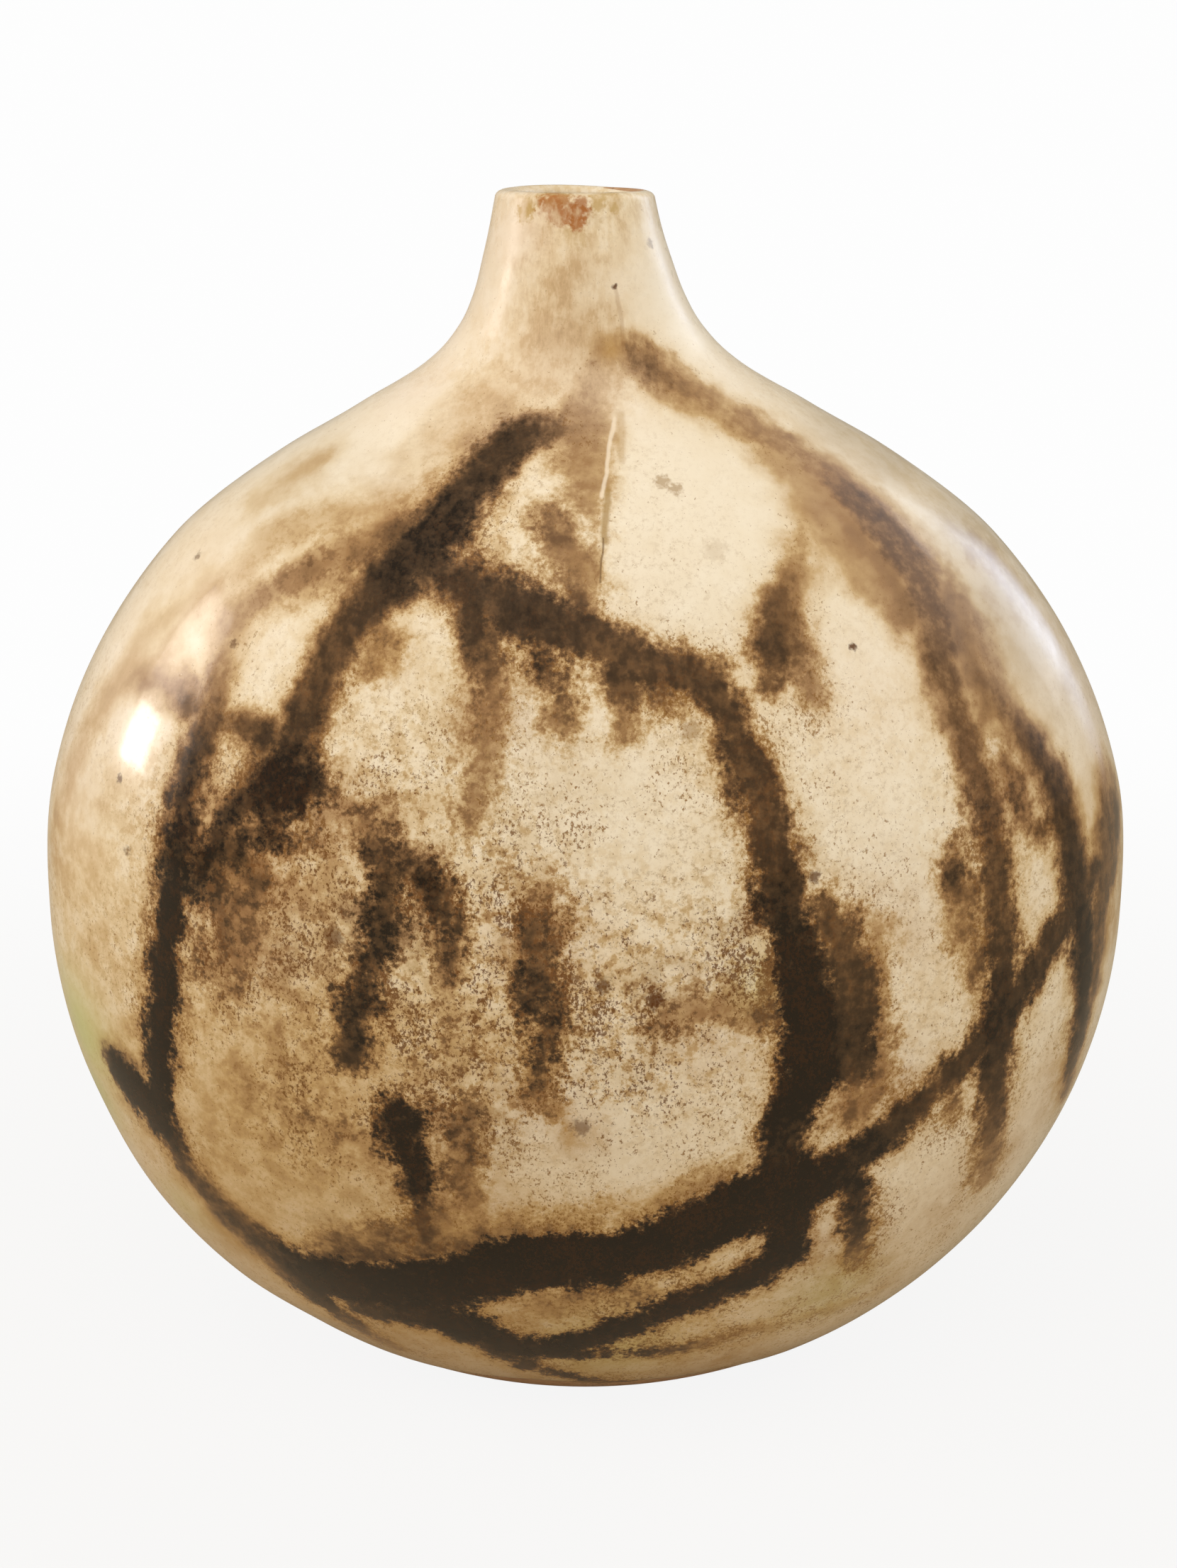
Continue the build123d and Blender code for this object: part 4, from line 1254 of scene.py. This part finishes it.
def bare_clay(name, groups, tones, grain_size, dark_grog, bump_depth):
    """Unglazed fired clay."""
    material, shade, shader = new_material(name)
    place = shade.place()
    clay = shade.group(groups["clay"], {"Place": place, "Size": grain_size})
    mottle = shade.group(groups["mottle"], {"Place": place, "Size": 9.0})
    tone = shade.times(shade.plus(mottle["Clouds"], shade.spread(clay["Grain"], 0.25, 0.75)), 0.5)
    colour = shade.ramp(tone, tones)
    colour = shade.mix(shade.times(clay["Grog"], 0.5), colour, dark_grog)
    specks = shade.group(groups["specks"], {"Place": place, "Size": 0.6, "Amount": 0.7})["Specks"]
    colour = shade.mix(shade.times(specks, 0.55), colour, paint(86, 58, 42))
    shade.put(colour, shader["Base Color"])
    shade.put(shade.spread(clay["Grain"], 0.2, 0.8, 0.72, 0.92), shader["Roughness"])
    bump = shade.add("Bump", {"Strength": 0.6, "Distance": bump_depth * MM, "Height": clay["Height"]})
    shade.put(bump.outputs["Normal"], shader["Normal"])
    return material


def three_tones(dark, middle, light):
    """The stops of a ramp with three colours."""
    return (0.0, paint(*dark)), (0.5, paint(*middle)), (1.0, paint(*light))


def dress(groups, skin, surface):
    """Put a material on the skin and on every solid."""
    clay_tones = three_tones((168, 126, 92), (190, 150, 112), (206, 172, 136))
    slip_tones = three_tones((156, 116, 84), (176, 138, 104), (194, 158, 124))
    liner_tones = three_tones((150, 116, 78), (182, 152, 112), (206, 182, 142))
    iron_tones = three_tones((58, 46, 34), (78, 60, 43), (104, 80, 57))
    clay = bare_clay("fired stoneware", groups, clay_tones, 0.5, paint(120, 84, 60), 0.12)
    slip = bare_clay("joining slip", groups, slip_tones, 0.25, paint(140, 100, 72), 0.05)
    liner = plain_glaze("liner glaze", groups, liner_tones, paint(84, 62, 44), 0.8)
    iron = plain_glaze("iron glaze", groups, iron_tones, paint(40, 32, 26), 0.7)
    pale = pale_glaze(groups, surface)
    skin.data.materials.append(pale)
    finishes = {"outer_glaze": pale, "front_trails": iron, "rear_trails": iron, "liner_glaze": liner}
    for name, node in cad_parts.items():
        finish = finishes.get(name, slip if name.endswith("_slip") else clay)
        for at in range(len(node.material_slots)):
            node.material_slots[at].material = finish


SURROUND_LIGHT = 0.3
FLOOR_SIDE = 6.0
SEEN_WHITE = (0.985, 0.985, 0.985, 1.0)


def make_stage():
    """A pale floor that fades into a white surround, and keeps the shadow."""
    half = FLOOR_SIDE / 2
    mesh = bpy.data.meshes.new("floor")
    corners = [(-half, -half, 0), (half, -half, 0), (half, half, 0), (-half, half, 0)]
    mesh.from_pydata(corners, [], [(0, 1, 2, 3)])
    floor = bpy.data.objects.new("floor", mesh)
    bpy.context.collection.objects.link(floor)
    material = bpy.data.materials.new("pale floor")
    material.use_nodes = True
    shade = Shading(material.node_tree)
    material.node_tree.nodes.clear()
    place = shade.place()
    away = shade.add("VectorMath", {0: place}, operation="LENGTH").outputs["Value"]
    tone = shade.mix(shade.noise(place, 40.0, 2.0), paint(188, 176, 154), paint(194, 182, 160))
    paper = shade.add("BsdfDiffuse", {"Color": tone})
    white = shade.add("Emission", {"Color": SEEN_WHITE, "Strength": 1.0})
    camera_ray = shade.add("LightPath").outputs["Is Camera Ray"]
    share = shade.times(shade.spread(away, 0.1, 0.5, 0.91, 1.0), camera_ray)
    mixed = shade.add("MixShader", {0: share, 1: paper.outputs[0], 2: white.outputs[0]})
    shade.add("OutputMaterial", {"Surface": mixed.outputs[0]})
    floor.data.materials.append(material)

    world = bpy.data.worlds.new("surround")
    world.use_nodes = True
    bpy.context.scene.world = world
    world.node_tree.nodes.clear()
    sky = Shading(world.node_tree)
    soft = sky.add("Background", {"Color": (1.0, 0.93, 0.82, 1.0), "Strength": SURROUND_LIGHT})
    plain = sky.add("Background", {"Color": SEEN_WHITE, "Strength": 1.0})
    camera_ray = sky.add("LightPath").outputs["Is Camera Ray"]
    mixed = sky.add("MixShader", {0: camera_ray, 1: soft.outputs[0], 2: plain.outputs[0]})
    sky.add("OutputWorld", {"Surface": mixed.outputs[0]})


def area_lamp(name, place, towards, width, height, brightness, colour, mirrored=True):
    """A rectangular lamp of that brightness: 1 is white paper. The glaze mirrors it or not."""
    lamp = bpy.data.lights.new(name, "AREA")
    lamp.shape = "RECTANGLE"
    lamp.size = width
    lamp.size_y = height
    lamp.energy = brightness * math.pi * width * height
    lamp.color = colour
    made = bpy.data.objects.new(name, lamp)
    bpy.context.collection.objects.link(made)
    made.visible_glossy = mirrored
    made.location = place
    made.rotation_euler = (Vector(place) - Vector(towards)).to_track_quat("Z", "Y").to_euler()
    return made


def mirrored_lamp(name, pixel, distance, width, height, brightness, colour, surface):
    """A lamp that the glaze mirrors at a pixel of the photograph."""
    start, direction = pixel_ray(pixel)
    hit, normal, _, _ = surface.ray_cast(start, direction)
    away = direction - 2 * direction.dot(normal) * normal
    return area_lamp(name, hit + away * distance, hit, width, height, brightness, colour)


def soften(lamp):
    """Let a lamp fade towards its edges, and show only as a sheen."""
    lamp.visible_diffuse = False
    lamp.data.use_nodes = True
    shade = Shading(lamp.data.node_tree)
    lit = lamp.data.node_tree.nodes["Emission"]
    across = shade.add("NewGeometry").outputs["Parametric"]
    from_middle = shade.vectors("DISTANCE", across, (0.5, 0.5, 0.0), "Value")
    shade.put(shade.spread(from_middle, 0.12, 0.5, 1.0, 0.0), lit.inputs["Strength"])


def make_lamps(surface):
    """Broad lamps that light the flask, and the windows and the sky that its glaze mirrors."""
    middle = Vector((0, 0, 0.1))
    area_lamp("overhead", (-0.1, -0.55, 1.1), middle, 1.2, 0.9, 2.5, (1.0, 0.98, 0.95), False)
    area_lamp("front", (-0.35, -1.5, 0.55), middle, 1.5, 1.1, 0.5, (1.0, 0.97, 0.92), False)
    area_lamp("right_fill", (1.2, -0.85, 0.12), middle, 0.9, 0.9, 2.6, (1.0, 0.96, 0.9), False)
    mirrored_lamp("window", (205, 1042), 0.9, 0.19, 0.15, 22.0, (1.0, 0.96, 0.92), surface)
    mirrored_lamp("upper_window", (284, 905), 0.95, 0.3, 0.26, 6.0, (1.0, 0.92, 0.88), surface)
    mirrored_lamp("right_sky", (1385, 810), 0.95, 0.36, 0.6, 2.0, (0.84, 0.91, 1.0), surface)
    soften(mirrored_lamp("sky_sheen", (1320, 780), 0.95, 1.6, 1.6, 1.3, (0.66, 0.8, 1.0), surface))
    soften(mirrored_lamp("neck_sheen", (924, 335), 0.95, 0.42, 0.9, 2.6, (0.5, 0.66, 1.0), surface))


bpy.context.scene.view_settings.view_transform = "Standard"
make_camera()
skin, surface = make_skin()
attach(skin, "root")
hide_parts("outer_glaze", "front_trails", "rear_trails")
groups = {
    "specks": iron_speck_group(),
    "mottle": mottle_group(),
    "glaze": glaze_surface_group(),
    "clay": clay_grain_group(),
    "spot": spot_group(),
    "line": run_line_group(),
}
dress(groups, skin, surface)
make_stage()
make_lamps(surface)
